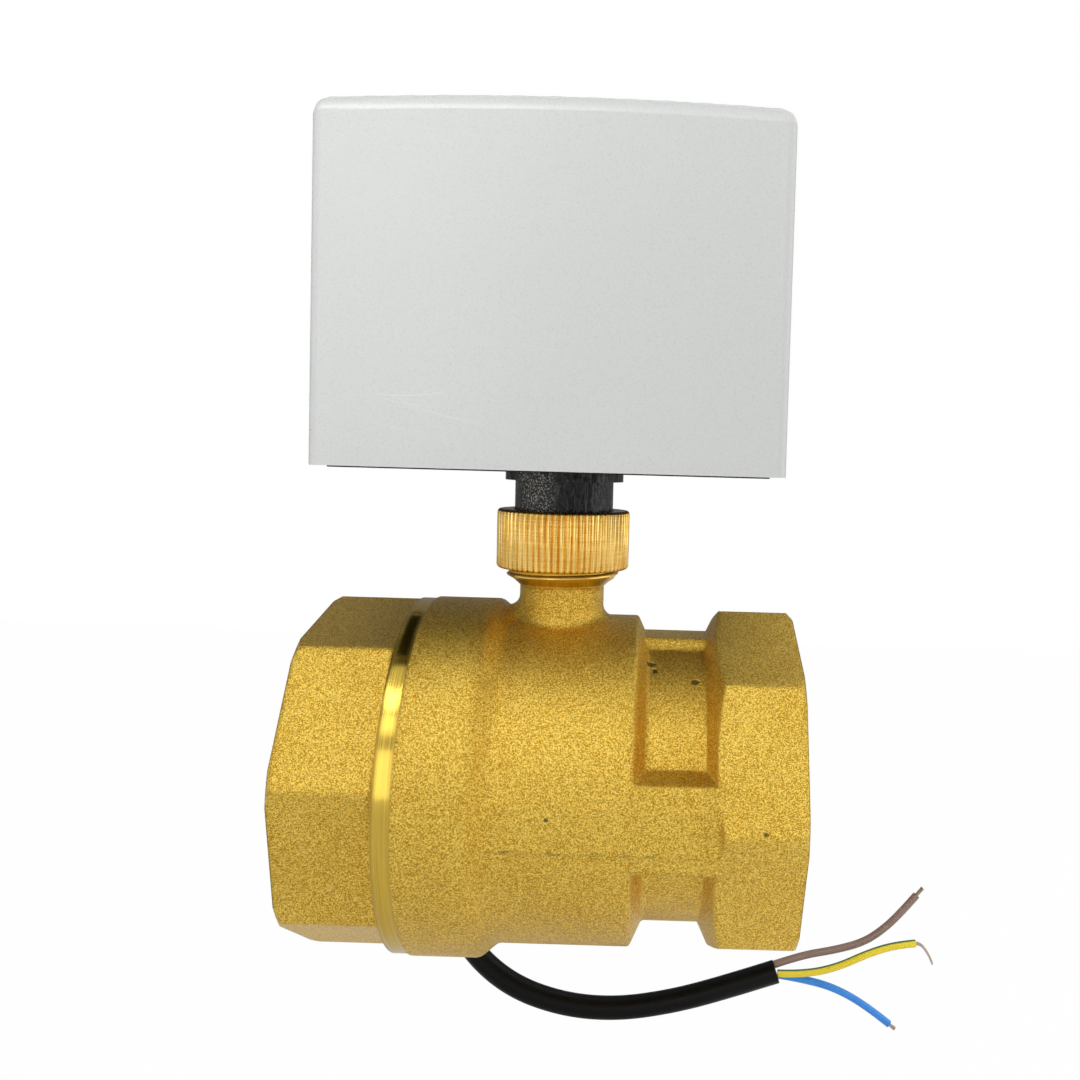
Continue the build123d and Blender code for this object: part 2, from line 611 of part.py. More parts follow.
# Valve body: collar, chamber, waist, outlet and neck in one forging, machined inside.
stem_wall = NECK_TOP_Z - NECK_THREAD_LENGTH
neck_points = [
    (0, 0),
    (NECK_R, 0),
    (NECK_R, stem_wall),
    (NECK_THREAD_R, stem_wall + NECK_THREAD_RUNOUT),
    (NECK_THREAD_R, NECK_TOP_Z - NECK_CHAMFER),
    (NECK_THREAD_R - NECK_CHAMFER, NECK_TOP_Z),
    (0, NECK_TOP_Z),
]
pocket_end = STEM_X + SEAT_REACH + SEAT_THICKNESS + POCKET_GAP
port_floor = OUTLET_X - PORT_DEPTH
sphere_mid = SEAT_REACH / 2
sphere_end_r = math.sqrt(CAVITY_R**2 - SEAT_REACH**2)
with BuildPart() as valve_body:
    with BuildSketch(Plane.XZ):
        with BuildLine():
            FilletPolyline(
                (BAND_END_X, BODY_COLLAR_R),
                (COLLAR_END_X, BODY_COLLAR_R),
                (COLLAR_END_X + COLLAR_SLOPE, CHAMBER_R),
                (CHAMBER_END_X, CHAMBER_R),
                (WAIST_START_X, WAIST_R),
                (WAIST_END_X, WAIST_R),
                radius=[COLLAR_EDGE_R, COLLAR_ROOT_R, WAIST_EDGE_R, WAIST_EDGE_R],
            )
            Polyline(
                (WAIST_END_X, WAIST_R),
                (WAIST_END_X, 0),
                (BODY_START_X, 0),
                (BODY_START_X, BODY_COLLAR_R - BAND_DROP),
                (BAND_END_X, BODY_COLLAR_R - BAND_DROP),
                (BAND_END_X, BODY_COLLAR_R),
            )
        make_face()
    revolve(axis=Axis.X)
    add(outlet_end.part)
    add(waist_ribs.part)
    revolve(about_stem(neck_points), axis=STEM_AXIS)
    neck_foot = valve_body.edges().filter_by(on_neck_foot)
    fillet(neck_foot, NECK_ROOT_R)
    with Locations(((COLLAR_END_X + OUTLET_OCTAGON_X) / 2, 0, 0)):
        Box(OUTLET_OCTAGON_X - COLLAR_END_X, 2 * (CHAMBER_R - LAND_DROP), 2 * LAND_HALF_WIDTH)
    with BuildSketch(Plane.XZ):
        with BuildLine():
            Polyline(
                (STEM_X, 0),
                (BODY_START_X - PAST, 0),
                (BODY_START_X - PAST, SPIGOT_R + THREAD_GAP),
                (BODY_SHOULDER_X, SPIGOT_R + THREAD_GAP),
                (BODY_SHOULDER_X, CAVITY_R),
                (STEM_X, CAVITY_R),
            )
            ThreePointArc(
                (STEM_X, CAVITY_R),
                (STEM_X + sphere_mid, math.sqrt(CAVITY_R**2 - sphere_mid**2)),
                (STEM_X + SEAT_REACH, sphere_end_r),
            )
            Polyline(
                (STEM_X + SEAT_REACH, sphere_end_r),
                (STEM_X + SEAT_REACH, SEAT_R + POCKET_GAP),
                (pocket_end, SEAT_R + POCKET_GAP),
                (pocket_end, BORE_R),
                (port_floor - PORT_CONE, BORE_R),
                (port_floor, BORE_R + PORT_CONE),
                (port_floor, PORT_R),
                (OUTLET_X + PAST, PORT_R),
                (OUTLET_X + PAST, 0),
                (STEM_X, 0),
            )
        make_face()
    revolve(axis=Axis.X, mode=Mode.SUBTRACT)
    stem_way = [
        (0, 0),
        (SHOULDER_R + SHOULDER_ROOM, 0),
        (SHOULDER_R + SHOULDER_ROOM, WASHER_TOP_Z),
        (STEM_R + RUNNING_GAP, WASHER_TOP_Z),
        (STEM_R + RUNNING_GAP, NECK_TOP_Z - COLLAR_PILOT_HEIGHT - END_PLAY),
        (COLLAR_PILOT_R + SCREW_GAP, NECK_TOP_Z - COLLAR_PILOT_HEIGHT - END_PLAY),
        (COLLAR_PILOT_R + SCREW_GAP, NECK_TOP_Z + PAST),
        (0, NECK_TOP_Z + PAST),
    ]
    revolve(about_stem(stem_way), axis=STEM_AXIS, mode=Mode.SUBTRACT)

# Inlet cap: an octagon for the wrench, a threaded spigot and the inlet's port.
octagon_r = CAP_FLATS / 2 / math.cos(math.radians(22.5))
cap_limit = [
    (0, 0),
    (0, octagon_r - OCTAGON_CHAMFER),
    (OCTAGON_CHAMFER, octagon_r),
    (CAP_OCTAGON_LENGTH, octagon_r),
    (CAP_OCTAGON_LENGTH, 0),
]
pocket_floor = SPIGOT_END_X - SEAT_THICKNESS - POCKET_GAP
cap_way = [
    (-PAST, 0),
    (-PAST, PORT_R),
    (PORT_DEPTH, PORT_R),
    (PORT_DEPTH, BORE_R + PORT_CONE),
    (PORT_DEPTH + PORT_CONE, BORE_R),
    (pocket_floor, BORE_R),
    (pocket_floor, SEAT_R + POCKET_GAP),
    (SPIGOT_END_X + PAST, SEAT_R + POCKET_GAP),
    (SPIGOT_END_X + PAST, 0),
]
with BuildPart() as end_cap:
    extrude(octagon(0, CAP_FLATS, -CAP_TURN), amount=CAP_OCTAGON_LENGTH)
    revolve(outline(Plane.XZ, cap_limit), axis=Axis.X, mode=Mode.INTERSECT)
    with BuildSketch(Plane.YZ.offset(CAP_OCTAGON_LENGTH)):
        Circle(SPIGOT_R)
    extrude(amount=SPIGOT_END_X - CAP_OCTAGON_LENGTH)
    chamfer(end_cap.faces().sort_by(Axis.X)[-1].edges(), SPIGOT_CHAMFER)
    revolve(outline(Plane.XZ, cap_way), axis=Axis.X, mode=Mode.SUBTRACT)

left_seat = seat(-1)
right_seat = seat(1)

# Flat gasket that the cap's spigot presses against the body's shoulder.
gasket_x = SPIGOT_END_X + GASKET_GAP
with BuildPart() as body_gasket:
    with BuildSketch(Plane.YZ.offset(gasket_x)):
        Circle(SPIGOT_R - GASKET_GAP)
        Circle(CAVITY_R + GASKET_GAP, mode=Mode.SUBTRACT)
    extrude(amount=GASKET_THICKNESS)

# Ball with its waterway along the pipe and the stem's slot across its top.
with BuildPart() as ball:
    with Locations((STEM_X, 0, 0)):
        Sphere(BALL_R)
    with BuildSketch(Plane.YZ.offset(STEM_X - BALL_R)):
        Circle(BORE_R)
    extrude(amount=2 * BALL_R, mode=Mode.SUBTRACT)
    with BuildSketch(Plane.XY.offset(BALL_R - TANG_DEPTH - TANG_GAP)):
        with Locations((STEM_X, 0)):
            Rectangle(TANG_THICKNESS + 2 * TANG_GAP, 2 * BALL_R)
    extrude(amount=BALL_R, mode=Mode.SUBTRACT)

# Stem: a tang in the ball, a shoulder that it can't blow out past, two grooves and a square.
shoulder_z = BALL_R + END_PLAY
groove_r = STEM_R + RUNNING_GAP + O_RING_SQUEEZE - 2 * O_RING_R
groove_mid = (stem_wall + NECK_TOP_Z) / 2
groove_levels = (groove_mid - O_RING_SPACING / 2, groove_mid + O_RING_SPACING / 2)
with BuildPart() as stem:
    stem_points = [
        (0, shoulder_z),
        (SHOULDER_R, shoulder_z),
        (SHOULDER_R, shoulder_z + SHOULDER_HEIGHT),
        (STEM_R, shoulder_z + SHOULDER_HEIGHT),
        (STEM_R, STEM_TOP_Z),
        (0, STEM_TOP_Z),
    ]
    revolve(about_stem(stem_points), axis=STEM_AXIS)
    for level in groove_levels:
        groove = [
            (groove_r, level - O_RING_R),
            (STEM_R + PAST, level - O_RING_R),
            (STEM_R + PAST, level + O_RING_R),
            (groove_r, level + O_RING_R),
        ]
        revolve(about_stem(groove), axis=STEM_AXIS, mode=Mode.SUBTRACT)
    with BuildSketch(Plane.XY.offset(BALL_R - TANG_DEPTH)):
        with Locations((STEM_X, 0)):
            Rectangle(TANG_THICKNESS, TANG_WIDTH)
    extrude(amount=TANG_DEPTH + END_PLAY)
    with BuildSketch(Plane.XY.offset(STEM_TOP_Z)):
        with Locations((STEM_X, 0)):
            Rectangle(DRIVE_SQUARE, DRIVE_SQUARE)
    extrude(amount=DRIVE_LENGTH)
    chamfer(stem.faces().sort_by(Axis.Z)[-1].edges(), DRIVE_CHAMFER)

# Rubber rings in the stem's grooves, drawn pressed flat by the neck's bore.
with BuildPart() as stem_o_rings:
    for level in groove_levels:
        with BuildSketch(Plane.XZ):
            with Locations((STEM_X + (STEM_R + groove_r) / 2 + FIXED_GAP / 2, level)):
                Ellipse((STEM_R - groove_r) / 2, O_RING_R - FIXED_GAP)
        revolve(axis=STEM_AXIS)

# Slippery washer between the stem's shoulder and the body.
with BuildPart() as stem_washer:
    with BuildSketch(Plane.XY.offset(WASHER_TOP_Z - STEM_WASHER_THICKNESS)):
        with Locations((STEM_X, 0)):
            Circle(SHOULDER_R + STEM_WASHER_RIM)
            Circle(STEM_R + END_PLAY, mode=Mode.SUBTRACT)
    extrude(amount=STEM_WASHER_THICKNESS)

# Knurled nut, open below for the neck's thread and drawn in above to a lip.
nut_points = [
    (NUT_THREAD_R, NUT_BOTTOM_Z),
    (NUT_R - NUT_CHAMFER, NUT_BOTTOM_Z),
    (NUT_R, NUT_BOTTOM_Z + NUT_CHAMFER),
    (NUT_R, NUT_TOP_Z - NUT_CHAMFER),
    (NUT_R - NUT_CHAMFER, NUT_TOP_Z),
    (COLLAR_R + SLIDE_GAP, NUT_TOP_Z),
    (COLLAR_R + SLIDE_GAP, NUT_TOP_Z - NUT_LIP),
    (NUT_THREAD_R, NUT_TOP_Z - NUT_LIP),
]
knurl = []
for ridge in range(KNURL_RIDGES):
    for radius, share in ((NUT_R - KNURL_DEPTH, 0.0), (NUT_R, KNURL_TOP_FROM), (NUT_R, KNURL_TOP_TO)):
        knurl.append(around_stem(radius, (ridge + share) * 360 / KNURL_RIDGES))
with BuildPart() as knurled_nut:
    extrude(outline(Plane.XY.offset(NUT_BOTTOM_Z), knurl), amount=NUT_HEIGHT)
    revolve(about_stem(nut_points), axis=STEM_AXIS, mode=Mode.INTERSECT)

# Washer that slips between the nut's lip and the snap ring.
with BuildPart() as nut_washer:
    with BuildSketch(Plane.XY.offset(NUT_TOP_Z - NUT_LIP - END_PLAY - NUT_WASHER_THICKNESS)):
        with Locations((STEM_X, 0)):
            Circle(NUT_THREAD_R - END_PLAY)
            Circle(COLLAR_R + END_PLAY, mode=Mode.SUBTRACT)
    extrude(amount=NUT_WASHER_THICKNESS)

# Open spring ring in the collar's groove, which the nut pulls down.
with BuildPart() as snap_ring:
    with BuildSketch(Plane.XY.offset(SNAP_RING_Z)):
        with Locations((STEM_X, 0)):
            Circle(SNAP_RING_R)
            Circle(SNAP_GROOVE_R + FIXED_GAP, mode=Mode.SUBTRACT)
        with BuildLine():
            opening = [around_stem(2 * SNAP_RING_R, 90 + half * SNAP_RING_OPENING / 2) for half in (-1, 1)]
            Polyline((STEM_X, 0), *opening, close=True)
        make_face(mode=Mode.SUBTRACT)
    extrude(amount=SNAP_RING_THICKNESS)

# Base moulding: the plate that closes the cover, with its collar, pillars and bosses.
pillar_places = [(STEM_X + x, y) for x, y in PILLARS]
idler_at = (STEM_X + IDLER_X, IDLER_Y)
pinion_at = (STEM_X + PINION_X, PINION_Y)
gland_at = (STEM_X + GLAND_AT[0], GLAND_AT[1])
switch_hole_x = STEM_X + SWITCH_FACE_X + SWITCH_HOLE_DEPTH
screw_seat_z = BASE_BOTTOM_Z + BASE_THICKNESS / 2
collar_points = [
    (0, NECK_TOP_Z - COLLAR_PILOT_HEIGHT),
    (COLLAR_PILOT_R, NECK_TOP_Z - COLLAR_PILOT_HEIGHT),
    (COLLAR_PILOT_R, NECK_TOP_Z),
    (COLLAR_R, NECK_TOP_Z),
    (COLLAR_R, SNAP_RING_Z - FIXED_GAP),
    (SNAP_GROOVE_R, SNAP_RING_Z - FIXED_GAP),
    (SNAP_GROOVE_R, SNAP_RING_Z + SNAP_RING_THICKNESS + FIXED_GAP),
    (COLLAR_R, SNAP_RING_Z + SNAP_RING_THICKNESS + FIXED_GAP),
    (COLLAR_R, BASE_BOTTOM_Z - COLLAR_FLANGE_HEIGHT),
    (COLLAR_FLANGE_R, BASE_BOTTOM_Z - COLLAR_FLANGE_HEIGHT),
    (COLLAR_FLANGE_R, BASE_BOTTOM_Z),
    (0, BASE_BOTTOM_Z),
]
with BuildPart() as base_plate:
    with BuildSketch(Plane.XY.offset(BASE_BOTTOM_Z)):
        with Locations((COVER_X, 0)):
            inset = COVER_WALL + BASE_GAP
            RectangleRounded(COVER_LENGTH - 2 * inset, COVER_WIDTH - 2 * inset, BASE_CORNER_R)
    extrude(amount=BASE_THICKNESS)
    revolve(about_stem(collar_points), axis=STEM_AXIS)
    with BuildSketch(Plane.XY.offset(FLOOR_Z)):
        with Locations(*pillar_places):
            Circle(PILLAR_R)
    extrude(amount=PLATE_Z - FLOOR_Z)
    extrude(disc(*idler_at, FLOOR_Z, PIN_BOSS_R), amount=GEAR_LIFT - BOSS_GAP)
    with BuildSketch(Plane.XY.offset(FLOOR_Z)):
        with Locations((switch_hole_x, 0)):
            with GridLocations(0, SWITCH_HOLES, 1, 2):
                Circle(SWITCH_BOSS_R)
    extrude(amount=SWITCH_FOOT_Z - FLOOR_Z)
    way_start = NECK_TOP_Z - COLLAR_PILOT_HEIGHT - PAST
    extrude(
        disc(STEM_X, 0, way_start, OUTPUT_SHAFT_R + RUNNING_GAP),
        amount=FLOOR_Z + PAST - way_start,
        mode=Mode.SUBTRACT,
    )
    extrude(disc(*idler_at, FLOOR_Z - PIN_SEAT, PIN_R + FIXED_GAP), amount=2 * PIN_SEAT, mode=Mode.SUBTRACT)
    with BuildSketch(Plane.XY.offset(PLATE_Z)):
        with Locations(*pillar_places):
            Circle(SCREW_R + FIXED_GAP)
    extrude(amount=-SPACER_STUD, mode=Mode.SUBTRACT)
    with BuildSketch(Plane.XY.offset(SWITCH_FOOT_Z)):
        with Locations((switch_hole_x, 0)):
            with GridLocations(0, SWITCH_HOLES, 1, 2):
                Circle(SWITCH_SCREW_R + FIXED_GAP)
    extrude(amount=-SWITCH_SCREW_BITE - SCREW_PAST, mode=Mode.SUBTRACT)
    extrude(
        disc(*gland_at, BASE_BOTTOM_Z, GLAND_INNER_R + FIXED_GAP), amount=BASE_THICKNESS, mode=Mode.SUBTRACT
    )
    with BuildSketch(Plane.XY.offset(BASE_BOTTOM_Z)):
        with Locations((COVER_X, 0)):
            with GridLocations(2 * COLUMN_X, 2 * COLUMN_Y, 2, 2):
                Circle(SCREW_R + SCREW_GAP)
    extrude(amount=BASE_THICKNESS, mode=Mode.SUBTRACT)
    with BuildSketch(Plane.XY.offset(BASE_BOTTOM_Z)):
        with Locations((COVER_X, 0)):
            with GridLocations(2 * COLUMN_X, 2 * COLUMN_Y, 2, 2):
                Circle(SCREW_POCKET_R)
    extrude(amount=screw_seat_z - BASE_BOTTOM_Z, mode=Mode.SUBTRACT)

# Cover: one thin-walled moulding with four screw columns in its corners. Its side outline is turned
# about the crown's axis, so that the rounding of the long top edges follows the crown.
crown_r = ((COVER_LENGTH / 2) ** 2 + COVER_CROWN**2) / (2 * COVER_CROWN)
crown_centre = (COVER_X, 0, COVER_TOP_Z + COVER_CROWN - crown_r)
half_turn = math.asin(COVER_LENGTH / 2 / crown_r) + math.radians(CROWN_PAST)
first_side = Plane(
    origin=crown_centre, x_dir=(0, 1, 0), z_dir=(math.cos(half_turn), 0, math.sin(half_turn))
)
with BuildPart() as housing_cover:
    extrude(cover_front(0.0, COVER_TOP_R), amount=COVER_WIDTH)
    with BuildSketch(first_side) as side:
        with Locations((0, crown_r / 2)):
            Rectangle(COVER_WIDTH, crown_r)
        fillet(side.vertices().group_by(Axis.Y)[-1], COVER_TOP_R)
    revolve(
        axis=Axis(crown_centre, (0, 1, 0)), revolution_arc=2 * math.degrees(half_turn), mode=Mode.INTERSECT
    )
    with BuildSketch(Plane.XY.offset(RIM_Z)):
        with Locations((COVER_X, 0)):
            RectangleRounded(COVER_LENGTH, COVER_WIDTH, COVER_SIDE_R)
    extrude(amount=COVER_TOP_Z + PAST - RIM_Z, mode=Mode.INTERSECT)
    extrude(cover_front(COVER_WALL, 0.0), amount=COVER_WIDTH - 2 * COVER_WALL, mode=Mode.SUBTRACT)
    with BuildSketch(Plane.XY.offset(FLOOR_Z + BOSS_GAP)):
        with Locations((COVER_X, 0)):
            with GridLocations(2 * COLUMN_X, 2 * COLUMN_Y, 2, 2):
                Circle(COLUMN_R)
    extrude(amount=COVER_TOP_Z - COVER_WALL / 2 - FLOOR_Z - BOSS_GAP)
    with BuildSketch(Plane.XY.offset(FLOOR_Z)):
        with Locations((COVER_X, 0)):
            with GridLocations(2 * COLUMN_X, 2 * COLUMN_Y, 2, 2):
                Circle(SCREW_R + FIXED_GAP)
    extrude(amount=COLUMN_HOLE_DEPTH, mode=Mode.SUBTRACT)

with BuildPart() as cover_screws:
    for corner in GridLocations(2 * COLUMN_X, 2 * COLUMN_Y, 2, 2):
        place = corner.position
        add(screw(COVER_X + place.X, place.Y, screw_seat_z, -1, COVER_SCREW_LENGTH))

# Steel plate over the gears, shaped to take in its pillars and the motor's ears.
motor_x = STEM_X + MOTOR_OFFSET_X
ear = Vector(MOTOR_EAR_REACH, 0).rotate(Axis.Z, MOTOR_EAR_ANGLE)
ear_places = [(motor_x + ear.X, ear.Y), (motor_x - ear.X, -ear.Y)]
with BuildPart() as gear_plate:
    with BuildSketch(Plane.XY.offset(PLATE_Z)):
        with Locations(*pillar_places, *ear_places):
            Circle(PLATE_MARGIN)
        make_hull()
    extrude(amount=PLATE_THICKNESS)
    with BuildSketch(Plane.XY.offset(PLATE_Z)):
        with Locations(*pillar_places, *ear_places):
            Circle(SCREW_R + SCREW_GAP)
        with Locations(idler_at):
            Circle(PIN_R + FIXED_GAP)
        with Locations(pinion_at):
            Circle(PIN_R + PINION_WAY)
        with Locations((STEM_X, 0)):
            Circle(TOP_JOURNAL_R + RUNNING_GAP)
    extrude(amount=PLATE_THICKNESS, mode=Mode.SUBTRACT)

# Synchronous motor: a drawn steel can with two ears, over the plate.
with BuildPart() as motor_can:
    extrude(disc(motor_x, 0, PLATE_TOP_Z, MOTOR_R), amount=MOTOR_HEIGHT)
    fillet(motor_can.faces().sort_by(Axis.Z)[-1].edges(), MOTOR_EDGE_R)
    with BuildSketch(Plane.XY.offset(PLATE_TOP_Z)):
        with Locations(*ear_places):
            Circle(MOTOR_EAR_R)
        with Locations((motor_x, 0)):
            Circle(MOTOR_EAR_ROOT_R)
        make_hull()
    extrude(amount=MOTOR_EAR_THICKNESS)
    with BuildSketch(Plane.XY.offset(PLATE_TOP_Z)):
        with Locations(*ear_places):
            Circle(SCREW_R + SCREW_GAP)
    extrude(amount=MOTOR_EAR_THICKNESS, mode=Mode.SUBTRACT)
    extrude(
        disc(*pinion_at, PLATE_TOP_Z, PIN_R + RUNNING_GAP),
        amount=PINION_SHAFT_REACH + END_PLAY,
        mode=Mode.SUBTRACT,
    )

with BuildPart() as motor_screws:
    screw_length = MOTOR_EAR_THICKNESS + PLATE_THICKNESS + SCREW_PAST
    for x, y in ear_places:
        add(screw(x, y, PLATE_TOP_Z + MOTOR_EAR_THICKNESS, 1, screw_length))

# Threaded spacers that clamp the plate to the pillars and carry the board.
with BuildPart() as board_spacers:
    with BuildSketch(Plane.XY.offset(PLATE_TOP_Z)):
        with Locations(*pillar_places):
            Circle(SPACER_R)
    extrude(amount=BOARD_Z - PLATE_TOP_Z)
    with BuildSketch(Plane.XY.offset(PLATE_TOP_Z)):
        with Locations(*pillar_places):
            Circle(SCREW_R)
    extrude(amount=-SPACER_STUD)
    with BuildSketch(Plane.XY.offset(BOARD_Z)):
        with Locations(*pillar_places):
            Circle(SCREW_R + FIXED_GAP)
    extrude(amount=-BOARD_SCREW_LENGTH, mode=Mode.SUBTRACT)

# Gear train: the motor's pinion, the stepped idler on its fixed pin and the output gear.
with BuildPart() as motor_pinion:
    extrude(gear(*pinion_at, PINION_Z, SMALL_TEETH, PINION_ANGLE + 180, False), amount=SMALL_GEAR_THICKNESS)
    extrude(disc(*pinion_at, PINION_Z, PIN_R), amount=PLATE_TOP_Z + PINION_SHAFT_REACH - PINION_Z)
with BuildPart() as idler_gear:
    extrude(gear(*idler_at, GEAR_Z, SMALL_TEETH, IDLER_ANGLE + 180, False), amount=IDLER_Z - GEAR_Z)
    extrude(gear(*idler_at, IDLER_Z, IDLER_TEETH, PINION_ANGLE, True), amount=IDLER_THICKNESS)
    extrude(
        disc(*idler_at, GEAR_Z, PIN_R + RUNNING_GAP), amount=2 * (IDLER_Z - GEAR_Z), mode=Mode.SUBTRACT
    )
with BuildPart() as idler_pin:
    extrude(disc(*idler_at, FLOOR_Z - PIN_SEAT, PIN_R), amount=PLATE_TOP_Z - FLOOR_Z + PIN_SEAT)
with BuildPart() as output_gear:
    extrude(gear(STEM_X, 0, GEAR_Z, OUTPUT_TEETH, IDLER_ANGLE, True), amount=GEAR_THICKNESS)
    extrude(disc(STEM_X, 0, GEAR_Z, GEAR_SEAT_R + FIXED_GAP), amount=GEAR_THICKNESS, mode=Mode.SUBTRACT)

# Output shaft, with a square socket for the stem below and a journal in the plate above.
gear_top_z = GEAR_Z + GEAR_THICKNESS + SHAFT_GAP
shaft_points = [
    (0, STEM_TOP_Z + SHAFT_GAP),
    (OUTPUT_SHAFT_R, STEM_TOP_Z + SHAFT_GAP),
    (OUTPUT_SHAFT_R, GEAR_Z),
    (GEAR_SEAT_R, GEAR_Z),
    (GEAR_SEAT_R, gear_top_z),
    (CAM_SEAT_R, gear_top_z),
    (CAM_SEAT_R, PLATE_Z - SHAFT_GAP),
    (TOP_JOURNAL_R, PLATE_Z - SHAFT_GAP),
    (TOP_JOURNAL_R, PLATE_TOP_Z - SHAFT_GAP),
    (0, PLATE_TOP_Z - SHAFT_GAP),
]
with BuildPart() as output_shaft:
    revolve(about_stem(shaft_points), axis=STEM_AXIS)
    with BuildSketch(Plane.XY.offset(STEM_TOP_Z)):
        with Locations((STEM_X, 0)):
            Rectangle(DRIVE_SQUARE + 2 * DRIVE_GAP, DRIVE_SQUARE + 2 * DRIVE_GAP)
    extrude(amount=DRIVE_LENGTH + END_PLAY, mode=Mode.SUBTRACT)

# Two cams in one moulding: the lower presses the closed switch, the upper the open switch.
with BuildPart() as cam_disc:
    hub_z = CAM_FIRST_Z - CAM_HUB_SHOWS
    hub_height = SWITCH_PITCH + CAM_THICKNESS + 2 * CAM_HUB_SHOWS
    extrude(disc(STEM_X, 0, hub_z, CAM_HUB_R), amount=hub_height)
    extrude(cam(CAM_FIRST_Z, CAM_LOW_R, CAM_HIGH_R, 90), amount=CAM_THICKNESS)
    extrude(cam(CAM_FIRST_Z + SWITCH_PITCH, CAM_HIGH_R, CAM_LOW_R, 180), amount=CAM_THICKNESS)
    extrude(disc(STEM_X, 0, hub_z, CAM_SEAT_R + FIXED_GAP), amount=hub_height, mode=Mode.SUBTRACT)

closed_switch = limit_switch(CLOSED_SWITCH_Z)
open_switch = limit_switch(OPEN_SWITCH_Z)
closed_button = button(CAM_LOW_R + BUTTON_GAP, CLOSED_SWITCH_Z)
open_button = button(CAM_HIGH_R + BUTTON_GAP, OPEN_SWITCH_Z)
with BuildPart() as switch_screws:
    screw_length = SWITCH_TOP_Z - SWITCH_FOOT_Z + SWITCH_SCREW_BITE
    for side in (-1, 1):
        y = side * SWITCH_HOLES / 2
        add(screw(switch_hole_x, y, SWITCH_TOP_Z, 1, screw_length, SWITCH_SCREW_R, SWITCH_SCREW_HEAD))

# Circuit board under the cover's top, with its larger parts.
with BuildPart() as circuit_board:
    with BuildSketch(Plane.XY.offset(BOARD_Z)):
        with Locations((COVER_X, 0)):
            inset = COVER_WALL + BOARD_MARGIN
            Rectangle(COVER_LENGTH - 2 * inset, COVER_WIDTH - 2 * inset)
            with GridLocations(2 * COLUMN_X, 2 * COLUMN_Y, 2, 2):
                Circle(COLUMN_R + BOARD_MARGIN, mode=Mode.SUBTRACT)
        with Locations(*pillar_places):
            Circle(SCREW_R + SCREW_GAP, mode=Mode.SUBTRACT)
    extrude(amount=BOARD_THICKNESS)
with BuildPart() as board_screws:
    for x, y in pillar_places:
        add(screw(x, y, BOARD_TOP_Z, 1, BOARD_SCREW_LENGTH))

relay = boxed(RELAY, RELAY_AT)
capacitor = boxed(CAPACITOR, CAPACITOR_AT)
with BuildPart() as terminal_block:
    add(boxed(TERMINAL_BLOCK, TERMINAL_BLOCK_AT).part)
    with BuildSketch(Plane.XY.offset(BOARD_TOP_Z + TERMINAL_BLOCK[2])):
        with Locations((STEM_X + TERMINAL_BLOCK_AT[0], TERMINAL_BLOCK_AT[1])):
            with GridLocations(TERMINAL_BLOCK[0] / TERMINALS, 0, TERMINALS, 1):
                Circle(TERMINAL_HOLE_R)
    extrude(amount=-TERMINAL_HOLE_DEPTH, mode=Mode.SUBTRACT)

# Rubber gland that the cable leaves the base by, tapered towards its tip.
gland_flange_z = BASE_BOTTOM_Z - GLAND_FLANGE_THICKNESS
gland_top_z = BASE_BOTTOM_Z + GLAND_INNER_LENGTH
gland_points = [
    (0, GLAND_TIP_Z),
    (GLAND_TIP_R, GLAND_TIP_Z),
    (GLAND_SLEEVE_R, gland_flange_z),
    (GLAND_FLANGE_R, gland_flange_z),
    (GLAND_FLANGE_R, BASE_BOTTOM_Z),
    (GLAND_INNER_R, BASE_BOTTOM_Z),
    (GLAND_INNER_R, gland_top_z),
    (0, gland_top_z),
]
with BuildPart() as cable_gland:
    placed = [(gland_at[0] + radius, z) for radius, z in gland_points]
    revolve(outline(Plane.XZ.offset(-gland_at[1]), placed), axis=Axis((*gland_at, 0), (0, 0, 1)))

power_cable = tube(CABLE_POINTS, CABLE_R, "power_cable")
brown_wire = tube(BROWN_POINTS, WIRE_R, "brown_wire")
earth_wire = tube(EARTH_POINTS, WIRE_R, "earth_wire")
blue_wire = tube(BLUE_POINTS, WIRE_R, "blue_wire")
brown_tip = strand(BROWN_POINTS, BROWN_STRAND)
earth_tip = strand(EARTH_POINTS, EARTH_STRAND)
blue_tip = strand(BLUE_POINTS, BLUE_STRAND)

pieces = {
    "valve_body": valve_body,
    "end_cap": end_cap,
    "left_seat": left_seat,
    "right_seat": right_seat,
    "body_gasket": body_gasket,
    "ball": ball,
    "stem": stem,
    "stem_o_rings": stem_o_rings,
    "stem_washer": stem_washer,
    "knurled_nut": knurled_nut,
    "nut_washer": nut_washer,
    "snap_ring": snap_ring,
    "base_plate": base_plate,
    "housing_cover": housing_cover,
    "cover_screws": cover_screws,
    "gear_plate": gear_plate,
    "motor_can": motor_can,
    "motor_screws": motor_screws,
    "board_spacers": board_spacers,
    "motor_pinion": motor_pinion,
    "idler_gear": idler_gear,
    "idler_pin": idler_pin,
    "output_gear": output_gear,
    "output_shaft": output_shaft,
    "cam_disc": cam_disc,
    "open_switch": open_switch,
    "closed_switch": closed_switch,
    "open_button": open_button,
    "closed_button": closed_button,
    "switch_screws": switch_screws,
    "circuit_board": circuit_board,
    "board_screws": board_screws,
    "relay": relay,
    "capacitor": capacitor,
    "terminal_block": terminal_block,
    "cable_gland": cable_gland,
    "power_cable": power_cable,
    "brown_wire": brown_wire,
    "earth_wire": earth_wire,
    "blue_wire": blue_wire,
    "brown_tip": brown_tip,
    "earth_tip": earth_tip,
    "blue_tip": blue_tip,
}
os.makedirs("parts", exist_ok=True)
for name, piece in pieces.items():
    piece.part.label = name
    export_step(piece.part, f"parts/{name}.step")
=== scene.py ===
import math

import bmesh
import bpy
from mathutils import Matrix, Vector


